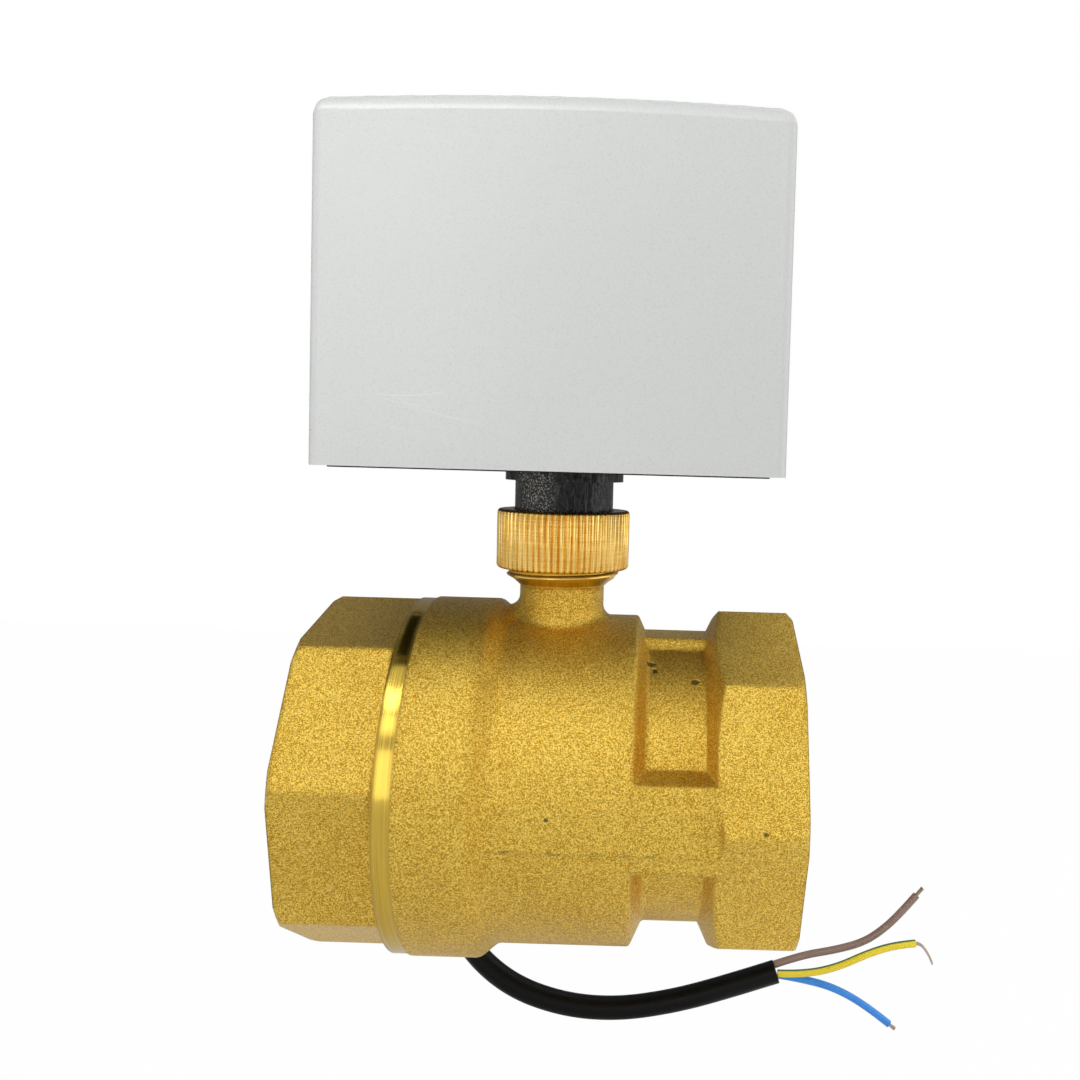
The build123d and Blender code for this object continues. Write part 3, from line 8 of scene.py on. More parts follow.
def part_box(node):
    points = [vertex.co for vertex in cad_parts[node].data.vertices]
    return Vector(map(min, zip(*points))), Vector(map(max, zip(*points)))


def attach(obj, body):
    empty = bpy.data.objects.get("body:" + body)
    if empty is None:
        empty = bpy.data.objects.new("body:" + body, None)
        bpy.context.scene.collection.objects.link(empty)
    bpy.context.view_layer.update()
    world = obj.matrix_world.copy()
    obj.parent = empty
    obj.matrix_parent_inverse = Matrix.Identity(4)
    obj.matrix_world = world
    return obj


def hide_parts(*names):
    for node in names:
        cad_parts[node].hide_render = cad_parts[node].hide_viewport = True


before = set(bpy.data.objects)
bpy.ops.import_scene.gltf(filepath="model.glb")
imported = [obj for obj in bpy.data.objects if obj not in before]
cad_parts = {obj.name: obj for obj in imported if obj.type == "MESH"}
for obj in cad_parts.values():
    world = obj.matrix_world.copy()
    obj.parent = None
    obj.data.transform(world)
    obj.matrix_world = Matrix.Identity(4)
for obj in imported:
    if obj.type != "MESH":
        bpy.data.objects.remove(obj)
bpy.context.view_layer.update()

# The camera stands in front of the union nut, a little right of the stem, and looks slightly down,
# as the photograph does. Its turn, lens and shift were fitted to the outline of the valve.
CAMERA_PLACE = (0.06916, -0.21533, 0.06859)
CAMERA_PITCH = -0.0450
CAMERA_YAW = 0.0053
CAMERA_ROLL = 0.0279
CAMERA_LENS = 33.42
CAMERA_FILM = 36.0
CAMERA_SHIFT = (-0.0987, -0.0335)
CAMERA_NEAREST = 0.01
forward = Vector(
    (
        -math.sin(CAMERA_YAW) * math.cos(CAMERA_PITCH),
        math.cos(CAMERA_YAW) * math.cos(CAMERA_PITCH),
        math.sin(CAMERA_PITCH),
    )
)
level_right = forward.cross(Vector((0, 0, 1))).normalized()
level_up = level_right.cross(forward)
camera_right = level_right * math.cos(CAMERA_ROLL) + level_up * math.sin(CAMERA_ROLL)
camera_up = level_up * math.cos(CAMERA_ROLL) - level_right * math.sin(CAMERA_ROLL)
camera_lens = bpy.data.cameras.new("photo_camera")
camera_lens.sensor_fit = "HORIZONTAL"
camera_lens.sensor_width = CAMERA_FILM
camera_lens.lens = CAMERA_LENS
camera_lens.shift_x, camera_lens.shift_y = CAMERA_SHIFT
camera_lens.clip_start = CAMERA_NEAREST
camera_turn = Matrix((camera_right, camera_up, -forward)).transposed().to_4x4()
camera = bpy.data.objects.new("photo_camera", camera_lens)
camera.matrix_world = Matrix.Translation(CAMERA_PLACE) @ camera_turn
bpy.context.collection.objects.link(camera)
bpy.context.scene.camera = camera
bpy.context.scene.view_settings.view_transform = "Standard"

# Power cable: a round black PVC sheath about six millimetres thick. It leaves the gland behind the
# nut, hangs beside the valve and comes forward under it to the right, where it is stripped.
CABLE_THICKNESS = 0.0058
CABLE_EXIT = (0.0483, 0.0216, 0.0570)
CABLE_ROUTE = [
    CABLE_EXIT,
    (0.0483, 0.0216, 0.0542),
    (0.04828, 0.02208, 0.04853),
    (0.0482, 0.02352, 0.04302),
    (0.0480, 0.0268, 0.0358),
    (0.0476, 0.0317, 0.0296),
    (0.0438, 0.0435, 0.0186),
    (0.0351, 0.0494, 0.0060),
    (0.0272, 0.0477, -0.008),
    (0.0193, 0.0474, -0.0202),
    (0.0162, 0.0458, -0.0352),
    (0.0178, 0.0436, -0.0493),
    (0.0246, 0.0430, -0.0618),
    (0.0353, 0.0422, -0.0706),
    (0.0488, 0.0420, -0.0752),
    (0.0628, 0.0420, -0.0762),
    (0.0773, 0.0420, -0.0738),
    (0.0913, 0.0420, -0.0696),
    (0.1051, 0.0420, -0.0647),
]
CORD_STEPS = 16
CORD_ROUNDNESS = 7
SHEATH_BLACK = (0.0025, 0.0025, 0.0025)
SHEATH_RUBBED = (0.0055, 0.0055, 0.0050)


class Value:
    """A socket of a finish, with the operators that its sums are written with."""

    def __init__(self, finish, socket):
        self.finish = finish
        self.socket = socket

    def __add__(self, other):
        return self.finish.sum("ADD", self, other)

    def __radd__(self, other):
        return self.finish.sum("ADD", other, self)

    def __sub__(self, other):
        return self.finish.sum("SUBTRACT", self, other)

    def __rsub__(self, other):
        return self.finish.sum("SUBTRACT", other, self)

    def __mul__(self, other):
        return self.finish.sum("MULTIPLY", self, other)

    def __rmul__(self, other):
        return self.finish.sum("MULTIPLY", other, self)

    def __abs__(self):
        return self.finish.sum("ABSOLUTE", self)


class Finish:
    """A material whose look is written as sums on its place on the piece."""

    def __init__(self, name, **same_all_over):
        self.material = bpy.data.materials.new(name)
        self.material.use_nodes = True
        self.tree = self.material.node_tree
        self.shader = self.tree.nodes["Principled BSDF"]
        for socket, value in same_all_over.items():
            self.shader.inputs[socket.replace("_", " ")].default_value = value

    def node(self, kind, settings, inputs, output=0):
        """A node with its settings made first, then the value or link of each of its sockets."""
        node = self.tree.nodes.new(kind)
        for name, value in settings.items():
            setattr(node, name, value)
        for name, value in inputs.items():
            if isinstance(value, Value):
                self.tree.links.new(value.socket, node.inputs[name])
            else:
                node.inputs[name].default_value = value
        return Value(self, node.outputs[output])

    def sum(self, operation, *terms):
        """One step of arithmetic on values and plain numbers."""
        return self.node("ShaderNodeMath", {"operation": operation}, dict(enumerate(terms)))

    def place(self, stretch=(1, 1, 1)):
        """The place on the object in metres, stretched along its axes."""
        here = self.node("ShaderNodeTexCoord", {}, {}, "Object")
        return self.node("ShaderNodeVectorMath", {"operation": "MULTIPLY"}, {0: here, 1: stretch})

    def axes(self, place):
        """The three coordinates of a place."""
        return [self.node("ShaderNodeSeparateXYZ", {}, {0: place}, axis) for axis in range(3)]

    def from_line(self, first, second):
        """How far a place is from a line, by how far it is off in both ways across the line."""
        return self.sum("SQRT", first * first + second * second)

    def noise(self, scale, place, detail=2.0, roughness=0.5):
        """Soft random clouds, mostly between 0.3 and 0.7."""
        sizes = {"Vector": place, "Scale": scale, "Detail": detail, "Roughness": roughness}
        return self.node("ShaderNodeTexNoise", {}, sizes)

    def cells(self, scale, place):
        """A random number for each grain of a surface that is broken into grains."""
        colour = self.node("ShaderNodeTexVoronoi", {}, {"Vector": place, "Scale": scale}, "Color")
        return self.node("ShaderNodeSeparateColor", {}, {0: colour})

    def rise(self, value, start, end, low=0.0, high=1.0):
        """Goes smoothly from low to high as a value goes from start to end."""
        sizes = {"Value": value, 1: start, 2: end, 3: low, 4: high}
        return self.node("ShaderNodeMapRange", {"interpolation_type": "SMOOTHSTEP"}, sizes)

    def spread(self, noise, low, high):
        """Goes from low to high over the values that a noise mostly has."""
        return self.rise(noise, 0.3, 0.7, low, high)

    def within(self, value, start, end, edge):
        """One between start and end, nothing outside them."""
        return self.rise(value, start - edge, start + edge) * self.rise(value, end + edge, end - edge)

    def mix(self, share, first, second):
        """Goes from the first colour to the second as a share goes from nought to one."""
        sizes = {0: share, 6: (*first, 1.0) if isinstance(first, tuple) else first}
        sizes[7] = (*second, 1.0) if isinstance(second, tuple) else second
        return self.node("ShaderNodeMix", {"data_type": "RGBA"}, sizes, 2)

    def bump(self, height, distance, strength=1.0, under=None):
        """The surface's normal over small heights, laid on another normal where one is given."""
        sizes = {"Height": height, "Distance": distance, "Strength": strength}
        if under is not None:
            sizes["Normal"] = under
        return self.node("ShaderNodeBump", {}, sizes)

    def soft_edges(self, radius):
        """The surface's normal with every sharp edge shaded as if it were eased."""
        return self.node("ShaderNodeBevel", {"samples": 8}, {"Radius": radius})

    def show(self, **links):
        """Links what changes over the surface, and hands the material over."""
        for socket, value in links.items():
            self.tree.links.new(value.socket, self.shader.inputs[socket.replace("_", " ")])
        return self.material


def hanging(name, route, thickness, material):
    """A cord on one smooth line through its route, closed at both ends."""
    line = bpy.data.curves.new(name, "CURVE")
    line.dimensions = "3D"
    line.resolution_u = CORD_STEPS
    line.bevel_depth = thickness / 2
    line.bevel_resolution = CORD_ROUNDNESS
    line.use_fill_caps = True
    spline = line.splines.new("NURBS")
    spline.points.add(len(route) - 1)
    for point, place in zip(spline.points, route):
        point.co = (*place, 1.0)
    spline.order_u = 3
    spline.use_endpoint_u = True
    line.materials.append(material)
    piece = bpy.data.objects.new(name, line)
    bpy.context.collection.objects.link(piece)
    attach(piece, "valve")
    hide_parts(name)
    return piece


sheath = Finish("black_pvc_sheath", Specular_IOR_Level=0.14)
sheath_place = sheath.place()
sheath_smear = sheath.noise(180.0, sheath_place, 3.0)
black_sheath = sheath.show(
    Base_Color=sheath.mix(sheath_smear, SHEATH_BLACK, SHEATH_RUBBED),
    Roughness=sheath.spread(sheath_smear, 0.30, 0.46),
    Normal=sheath.bump(sheath.noise(2600.0, sheath_place), 0.00002, 0.6),
)
power_cable = hanging("power_cable", CABLE_ROUTE, CABLE_THICKNESS, black_sheath)

# Cores: brown, yellow and green, and blue wires under two millimetres thick, fanned out by hand
# beyond the cut sheath. Each is stripped, and its bare strands are twisted together.
WIRE_THICKNESS = 0.0019
BROWN_ROUTE = [
    (0.1047, 0.0427, -0.0632),
    (0.1120, 0.0435, -0.0609),
    (0.1205, 0.0436, -0.0593),
    (0.1278, 0.0436, -0.0571),
    (0.1327, 0.0434, -0.0536),
    (0.1372, 0.0430, -0.0488),
    (0.1412, 0.0426, -0.0435),
]
EARTH_ROUTE = [
    (0.1054, 0.0408, -0.0646),
    (0.1121, 0.0406, -0.0645),
    (0.1206, 0.0404, -0.0624),
    (0.1290, 0.0404, -0.0582),
    (0.1359, 0.0406, -0.0560),
    (0.1410, 0.0410, -0.0556),
]
BLUE_ROUTE = [
    (0.1061, 0.0427, -0.0660),
    (0.1122, 0.0430, -0.0670),
    (0.1208, 0.0430, -0.0691),
    (0.1294, 0.0428, -0.0737),
    (0.1353, 0.0426, -0.0782),
]
BROWN_DARK = (0.260, 0.165, 0.125)
BROWN_LIGHT = (0.370, 0.250, 0.195)
YELLOW_DARK = (0.940, 0.700, 0.012)
YELLOW_LIGHT = (1.000, 0.800, 0.030)
GREEN_STRIPE = (0.070, 0.220, 0.055)
BLUE_DARK = (0.025, 0.250, 0.800)
BLUE_LIGHT = (0.045, 0.330, 0.950)
STRIPE_TILT_Y = 0.50
STRIPE_TILT_Z = 0.85
STRIPE_EDGE = (0.44, 0.56)
STRAND_THICKNESS = 0.00032
STRANDS_ROUND = 6
STRAND_TWISTS_PER_METRE = 90.0
STRAND_FLARE = 0.25
STRAND_STEPS = 10
STRAND_ROUNDNESS = 2
DROOP_STRETCH = 0.8
COPPER_DARK = (0.34, 0.27, 0.22)
COPPER_LIGHT = (0.66, 0.56, 0.48)


def wire_skin(name, dark, light, stripe=None):
    """Glossy core insulation, with a green stripe along its back where it has one."""
    skin = Finish(name, Coat_Weight=0.15, Coat_Roughness=0.25)
    place = skin.place()
    smear = skin.noise(300.0, place, 3.0)
    colour = skin.mix(smear, dark, light)
    if stripe:
        facing = skin.axes(skin.node("ShaderNodeTexCoord", {}, {}, "Normal"))
        behind = skin.rise(facing[2] * STRIPE_TILT_Z + facing[1] * STRIPE_TILT_Y, *STRIPE_EDGE)
        colour = skin.mix(behind, colour, stripe)
    return skin.show(
        Base_Color=colour,
        Roughness=skin.spread(smear, 0.28, 0.42),
        Normal=skin.bump(skin.noise(3000.0, place), 0.00001, 0.6),
    )


copper = Finish("bare_copper_strand", Metallic=1.0)
copper_tarnish = copper.noise(1500.0, copper.place(), 3.0)
bare_copper = copper.show(
    Base_Color=copper.mix(copper_tarnish, COPPER_DARK, COPPER_LIGHT),
    Roughness=copper.spread(copper_tarnish, 0.25, 0.45),
)


def twisted_tip(name, route, length, droop):
    """The bare strands at a wire's end: six laid round a middle one, and bent down by a share."""
    end = Vector(route[-1])
    along = (end - Vector(route[-2])).normalized()
    side = along.cross(Vector((0, 1, 0))).normalized()
    line = bpy.data.curves.new(name, "CURVE")
    line.dimensions = "3D"
    line.bevel_depth = STRAND_THICKNESS / 2
    line.bevel_resolution = STRAND_ROUNDNESS
    line.use_fill_caps = True
    for strand in range(STRANDS_ROUND + 1):
        spline = line.splines.new("NURBS")
        spline.points.add(STRAND_STEPS)
        reach = STRAND_THICKNESS if strand else 0.0
        for step, point in enumerate(spline.points):
            share = step / STRAND_STEPS
            gone = length * step / STRAND_STEPS
            turn = math.tau * (gone * STRAND_TWISTS_PER_METRE + strand / STRANDS_ROUND)
            spread = reach * (1.0 + STRAND_FLARE * share**2)
            sunk = Vector((0, 0, -droop * gone * share))
            middle = end + (along * gone + sunk) / math.hypot(1.0, DROOP_STRETCH * droop)
            point.co = (*(middle + Matrix.Rotation(turn, 3, along) @ side * spread), 1.0)
        spline.order_u = 3
        spline.use_endpoint_u = True
    line.materials.append(bare_copper)
    piece = bpy.data.objects.new(name, line)
    bpy.context.collection.objects.link(piece)
    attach(piece, "valve")
    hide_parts(name)
    return piece


brown_skin = wire_skin("brown_insulation", BROWN_DARK, BROWN_LIGHT)
earth_skin = wire_skin("earth_insulation", YELLOW_DARK, YELLOW_LIGHT, GREEN_STRIPE)
blue_skin = wire_skin("blue_insulation", BLUE_DARK, BLUE_LIGHT)
CORES = [
    ("brown_wire", "brown_tip", BROWN_ROUTE, 0.0431, 0.0025, 0.0, brown_skin, "brown_insulation"),
    ("earth_wire", "earth_tip", EARTH_ROUTE, 0.0371, 0.0065, 1.2, earth_skin, "earth_insulation"),
    ("blue_wire", "blue_tip", BLUE_ROUTE, 0.0322, 0.0020, 0.0, blue_skin, "blue_insulation"),
]
for wire_name, tip_name, route, wire_length, bare_length, droop, skin, slot in CORES:
    wire = hanging(wire_name, route, WIRE_THICKNESS, skin)
    tip = twisted_tip(tip_name, route, bare_length, droop)

# Gland: a soft black rubber sleeve that keeps the cable from bending sharply where it leaves the
# base. Its collar sits against the base, and it narrows in steps to its tip. The stem's two seal
# rings are of the same rubber.
GLAND_BORE_R = 0.00285
GLAND_NECK_R = 0.0034
GLAND_COLLAR_R = 0.0046
GLAND_COLLAR_DEPTH = 0.0011
GLAND_COLLAR_EASE = 0.0003
GLAND_BODY_LENGTH = 0.0084
GLAND_PLAIN_LENGTH = 0.0022
GLAND_RINGS = 4
GLAND_RINGS_START = 0.0016
GLAND_RING_R = 0.0042
GLAND_RING_TAPER = 0.0002
GLAND_GROOVE = 0.0004
GLAND_TIP_R = 0.0032
GLAND_TIP_EASE = 0.0003
SAME_CORNER = 0.000002
RUBBER_BLACK = (0.008, 0.008, 0.008)
RUBBER_DUSTY = (0.022, 0.022, 0.021)
gland_low, gland_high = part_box("cable_gland")
gland_axis = ((gland_low.x + gland_high.x) / 2, (gland_low.y + gland_high.y) / 2, 0.0)


def settle(name, mesh, material, body, nodes=(), sharp=32.0):
    """Makes a finished mesh a piece of the valve, with soft shading up to its sharp edges."""
    bmesh.ops.remove_doubles(mesh, verts=mesh.verts, dist=SAME_CORNER)
    bmesh.ops.recalc_face_normals(mesh, faces=mesh.faces)
    surface = bpy.data.meshes.new(name)
    mesh.to_mesh(surface)
    mesh.free()
    surface.polygons.foreach_set("use_smooth", [True] * len(surface.polygons))
    surface.set_sharp_from_angle(angle=math.radians(sharp))
    surface.materials.append(material)
    piece = bpy.data.objects.new(name, surface)
    bpy.context.collection.objects.link(piece)
    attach(piece, body)
    if nodes:
        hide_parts(*nodes)
    return piece


def turn_up(mesh, outline, centre, steps):
    """Turns a closed outline of (radius, height) points about an upright axis."""
    corners = [mesh.verts.new((centre[0] + radius, centre[1], height)) for radius, height in outline]
    edges = [mesh.edges.new(pair) for pair in zip(corners, corners[1:] + corners[:1])]
    bmesh.ops.spin(
        mesh,
        geom=corners + edges,
        cent=centre,
        axis=(0, 0, 1),
        angle=math.tau,
        steps=steps,
        use_merge=True,
    )


def dress(material, *nodes):
    """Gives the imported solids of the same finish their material."""
    for node in nodes:
        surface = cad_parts[node].data
        surface.materials.clear()
        surface.materials.append(material)


gland_base_z = gland_low.z + GLAND_BODY_LENGTH
gland_collar_z = gland_base_z - GLAND_COLLAR_DEPTH
gland_outline = [
    (GLAND_BORE_R, gland_high.z),
    (GLAND_NECK_R, gland_high.z),
    (GLAND_NECK_R, gland_base_z),
    (GLAND_COLLAR_R, gland_base_z),
    (GLAND_COLLAR_R, gland_collar_z),
    (GLAND_COLLAR_R - GLAND_COLLAR_EASE, gland_collar_z - GLAND_COLLAR_EASE),
]
ring_pitch = (GLAND_BODY_LENGTH - GLAND_PLAIN_LENGTH) / GLAND_RINGS
for ring in range(GLAND_RINGS):
    top = gland_base_z - GLAND_RINGS_START - ring * ring_pitch
    wide = GLAND_RING_R - GLAND_RING_TAPER * ring
    gland_outline += [
        (wide - GLAND_GROOVE, top),
        (wide - GLAND_GROOVE, top - 0.3 * ring_pitch),
        (wide, top - 0.45 * ring_pitch),
        (wide, top - 0.9 * ring_pitch),
    ]
gland_outline += [
    (GLAND_NECK_R, gland_low.z + GLAND_TIP_EASE),
    (GLAND_TIP_R, gland_low.z),
    (GLAND_BORE_R, gland_low.z),
]
rubber = Finish("black_rubber", Specular_IOR_Level=0.4)
rubber_place = rubber.place()
rubber_dust = rubber.noise(700.0, rubber_place, 4.0)
black_rubber = rubber.show(
    Base_Color=rubber.mix(rubber_dust, RUBBER_BLACK, RUBBER_DUSTY),
    Roughness=rubber.spread(rubber_dust, 0.50, 0.68),
    Normal=rubber.bump(rubber.noise(3500.0, rubber_place), 0.00002, 0.5),
)
gland_mesh = bmesh.new()
turn_up(gland_mesh, gland_outline, gland_axis, steps=64)
settle("gland_sleeve", gland_mesh, black_rubber, "valve", ("cable_gland",))
dress(black_rubber, "stem_o_rings")

# Forged pieces: the body and the inlet cap are brass forgings, blasted to an even sparkling grain.
# The clamping band, the port bores, the end faces and the neck's thread are turned bright
# afterwards. The parting line of the dies still shows on the body.
body_low, body_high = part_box("valve_body")
stem_low, stem_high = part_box("stem")
STEM_X = (stem_low.x + stem_high.x) / 2
OUTLET_X = body_high.x
BAND_START = body_low.x
BAND_LENGTH = 0.0037
BAND_R = (0.0340, 0.0345)
PORT_R = 0.029
PORT_DEPTH = 0.0155
FACE_DEPTH = 0.0001
NECK_THREAD_FOOT = 0.0413
NECK_R = (0.0135, 0.0130)
GRAINS_PER_METRE = 6400.0
PITS_PER_METRE = 7000.0
LATHE_LINES = (5200.0, 30.0, 30.0)
EDGE_EASE = 0.0016
LAND_HALF_WIDTH = 0.0046
LAND_SLOPE_X = (0.0800, 0.0840)
LAND_SLOPE_RISE = 0.0016
PARTING_START_X = (0.036, 0.040)
PARTING_HALF_WIDTH = (0.00045, 0.00015)
PARTING_WANDER = 0.0012
CRUST_FLAKES = (260.0, 900.0, 900.0)
NICK_WANDER = 0.0022
# Pale and deep brass span the blasted grain: partly its own tone, partly painted glints and painted shade
# in the pits.
PALE_BRASS = (1.000, 0.720, 0.140)
DEEP_BRASS = (0.470, 0.244, 0.018)
BRIGHT_BRASS = (0.900, 0.650, 0.120)
DULL_BRASS = (0.360, 0.200, 0.018)
SCALE_BROWN = (0.085, 0.075, 0.035)
BODY_NICKS = [
    ((0.0698, -0.0123, 0.0271), 0.00115),
    ((0.0706, -0.0141, 0.0256), 0.00090),
    ((0.0788, -0.0164, 0.0242), 0.00090),
    ((0.0916, -0.0359, 0.0009), 0.00035),
    ((0.0513, -0.0343, 0.0018), 0.00022),
]
CAP_NICKS = [((0.0090, -0.0330, -0.0190), 0.00050), ((0.0150, -0.0300, 0.0180), 0.00045)]


def forged_brass(name, nicks):
    """Blasted brass with bright turned faces, and dark nicks at the given places."""
    brass = Finish(name, Metallic=1.0)
    place = brass.place()
    x, y, z = brass.axes(place)
    off_axis = brass.from_line(y, z)
    off_stem = brass.from_line(x - STEM_X, y)
    band = brass.within(x, BAND_START, BAND_START + BAND_LENGTH, 0.00008) * brass.rise(off_axis, *BAND_R)
    ends = 1.0 - brass.within(x, PORT_DEPTH, OUTLET_X - PORT_DEPTH, 0.0001)
    bore = brass.rise(off_axis, PORT_R + 0.0006, PORT_R + 0.0001) * ends
    faces = 1.0 - brass.within(x, FACE_DEPTH, OUTLET_X - FACE_DEPTH, 0.00005)
    neck = brass.rise(z, NECK_THREAD_FOOT, NECK_THREAD_FOOT + 0.0002) * brass.rise(off_stem, *NECK_R)
    turned = brass.sum("MAXIMUM", brass.sum("MAXIMUM", band, bore), brass.sum("MAXIMUM", faces, neck))
    grains = brass.cells(GRAINS_PER_METRE, place)
    pits = brass.noise(PITS_PER_METRE, place, 2.0, 0.6)
    clouds = brass.noise(55.0, place, 3.0)
    lumps = brass.noise(150.0, place, 2.0)
    # The grain's colour is partly its own tone, and partly painted: pale glints on the grains and painted
    # shade in the pits.
    grain_tone_and_painted_glints = brass.rise(grains * 0.50 + pits * 0.35 + clouds * 0.15, 0.34, 0.68)
    lines = brass.noise(1.0, brass.place(LATHE_LINES), 2.0, 0.7)
    blasted = brass.mix(grain_tone_and_painted_glints, DEEP_BRASS, PALE_BRASS)
    lathe = brass.mix(lines, DULL_BRASS, BRIGHT_BRASS)
    scars = brass.noise(420.0, place, 2.0, 0.4)
    crust = brass.noise(1.0, brass.place(CRUST_FLAKES), 3.0, 0.6)
    seam = abs(z + LAND_HALF_WIDTH - brass.rise(x, *LAND_SLOPE_X) * LAND_SLOPE_RISE)
    parting = brass.rise(seam + (scars - 0.5) * PARTING_WANDER, *PARTING_HALF_WIDTH)
    marks = parting * brass.rise(x, *PARTING_START_X) * brass.rise(crust, 0.48, 0.66) * 0.6
    for spot, size in nicks:
        away = brass.node("ShaderNodeVectorMath", {"operation": "DISTANCE"}, {0: place, 1: spot}, "Value")
        nick = brass.rise(away + (scars - 0.5) * NICK_WANDER, size, size * 0.55)
        marks = brass.sum("MAXIMUM", marks, nick)
    marks = marks * (1.0 - turned)
    height = (pits * 0.7 + grains * 0.4) * (1.0 - turned) - marks * 1.2
    eased = brass.bump(lumps * (1.0 - turned), 0.0003, 0.6, brass.soft_edges(EDGE_EASE))
    blasted_rough = brass.spread(pits, 0.26, 0.40) * (1.0 - turned)
    turned_rough = turned * brass.spread(lines, 0.09, 0.20)
    return brass.show(
        Base_Color=brass.mix(marks * 0.85, brass.mix(turned, blasted, lathe), SCALE_BROWN),
        Roughness=blasted_rough + turned_rough + neck * 0.20,
        Normal=brass.bump(lines * turned, 0.000006, 1.0, brass.bump(height, 0.00015, 1.0, eased)),
    )


dress(forged_brass("forged_brass_body", BODY_NICKS), "valve_body")
dress(forged_brass("forged_brass_cap", CAP_NICKS), "end_cap")

# Pipe threads: parallel ridges cut in both ports, eleven to the inch, that fade out before the
# shoulder of the bore. The stem is turned from the same brass.
PIPE_PITCH = 0.002309
PIPE_DEPTH = 0.00085
PIPE_TURNS = 5.5
PIPE_START = 0.0012
THREAD_STEPS = 64
THREAD_SINK = 0.00005
THREAD_FOOT = 0.47
THREAD_CREST = 0.10
RUNOUT_SLOPE = 1.136
TURNED_DULL = (0.760, 0.490, 0.085)
TURNED_BRIGHT = (0.880, 0.610, 0.150)
TURNED_LINES = (400.0, 400.0, 9000.0)
turned = Finish("turned_brass", Metallic=1.0)
turned_lines = turned.noise(1.0, turned.place(TURNED_LINES), 2.0, 0.6)
turned_clouds = turned.noise(220.0, turned.place(), 3.0)
turned_brass = turned.show(
    Base_Color=turned.mix(turned_clouds, TURNED_DULL, TURNED_BRIGHT),
    Roughness=turned.spread(turned_lines, 0.26, 0.40),
    Normal=turned.bump(turned_lines, 0.000006),
)
dress(turned_brass, "stem")


def thread(name, root_r, depth, pitch, turns, start, along, centre, runout=0.0):
    """A thread's ridge, wound about an axis from its start: positive depths stand outwards.

    Where it runs out below a height, it follows the cone there.
    """
    axis = Vector(along)
    side = Vector((0, 0, 1)) if abs(axis.x) > 0.5 else Vector((1, 0, 0))
    first = Vector(centre) + axis * start
    sunk = -THREAD_SINK if depth > 0 else THREAD_SINK
    section = [(sunk, -THREAD_FOOT), (depth, -THREAD_CREST), (depth, THREAD_CREST), (sunk, THREAD_FOOT)]
    mesh = bmesh.new()
    corners = [mesh.verts.new(first + side * (root_r + out) + axis * pitch * up) for out, up in section]
    edges = [mesh.edges.new(pair) for pair in zip(corners, corners[1:] + corners[:1])]
    bmesh.ops.spin(
        mesh,
        geom=corners + edges,
        cent=centre,
        axis=along,
        dvec=axis * pitch / THREAD_STEPS,
        angle=math.tau * turns,
        steps=round(THREAD_STEPS * turns),
        use_merge=False,
    )
    bmesh.ops.holes_fill(mesh, edges=[edge for edge in mesh.edges if edge.is_boundary], sides=4)
    for corner in mesh.verts:
        gone = (corner.co - first).dot(axis) / pitch
        fade = min(1.0, max(0.0, gone + 0.5), max(0.0, turns + 0.5 - gone))
        foot = Vector(centre) + axis * (corner.co - Vector(centre)).dot(axis)
        out = corner.co - foot
        narrowing = max(0.0, runout - corner.co.z) * RUNOUT_SLOPE if runout else 0.0
        corner.co = foot + out.normalized() * (root_r - narrowing + (out.length - root_r) * fade)
    settle(name, mesh, turned_brass, "valve", sharp=50.0)


for name, along, mouth in (
    ("inlet_thread", (1, 0, 0), (0, 0, 0)),
    ("outlet_thread", (-1, 0, 0), (OUTLET_X, 0, 0)),
):
    thread(name, PORT_R, -PIPE_DEPTH, PIPE_PITCH, PIPE_TURNS, PIPE_START, along, mouth)

# Neck thread: fine rounded ridges on the brass neck, cut for the union nut. Only its last turns show
# below the nut, where it runs out on the neck's cone.
NECK_ROOT_R = 0.0115
NECK_DEPTH = 0.0005
NECK_PITCH = 0.0015
NECK_TURNS = 5.6
NECK_START = 0.0424
NECK_RUNOUT = 0.0432
thread(
    "neck_thread",
    NECK_ROOT_R,
    NECK_DEPTH,
    NECK_PITCH,
    NECK_TURNS,
    NECK_START,
    (0, 0, 1),
    (STEM_X, 0, 0),
    NECK_RUNOUT,
)

# Union nut: rosy turned brass with straight knurling all round, eased at both edges. It draws the
# actuator's collar down onto the neck.
nut_low, nut_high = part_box("knurled_nut")
NUT_R = 0.01415
NUT_RIDGES = 64
NUT_RIDGE_DEPTH = 0.00048
NUT_RIDGE_PROFILE = (1.0, 0.45, 0.08, 0.0, 0.08, 0.45)
NUT_EASE = 0.00055
NUT_RIM_SHRINK = NUT_EASE * 0.75
NUT_RIM_WIDTH = 0.0011
NUT_TOP_R = NUT_R - 0.0012
NUT_BORE_R = 0.01212
NUT_BORE_EASE = 0.0004
NUT_LIP = 0.0023
NUT_LIP_BORE_R = 0.0108
NUT_VALLEY_R = (0.01408 - NUT_RIM_SHRINK, 0.01382 - NUT_RIM_SHRINK)
NUT_STREAKS = (2600.0, 2600.0, 90.0)
NUT_RINGS = (120.0, 120.0, 5200.0)
ROSY_DULL = (0.720, 0.400, 0.070)
ROSY_BRIGHT = (1.000, 0.690, 0.220)
VALLEY_BROWN = (0.180, 0.090, 0.020)
nut_mesh = bmesh.new()
ring = bmesh.ops.create_circle(
    nut_mesh,
    segments=NUT_RIDGES * len(NUT_RIDGE_PROFILE),
    radius=NUT_R,
    matrix=Matrix.Translation((STEM_X, 0, nut_low.z)),
)["verts"]
for number, corner in enumerate(sorted(ring, key=lambda v: math.atan2(v.co.y, v.co.x - STEM_X))):
    drop = NUT_RIDGE_PROFILE[number % len(NUT_RIDGE_PROFILE)] * NUT_RIDGE_DEPTH
    corner.co.x = STEM_X + (corner.co.x - STEM_X) * (1 - drop / NUT_R)
    corner.co.y *= 1 - drop / NUT_R


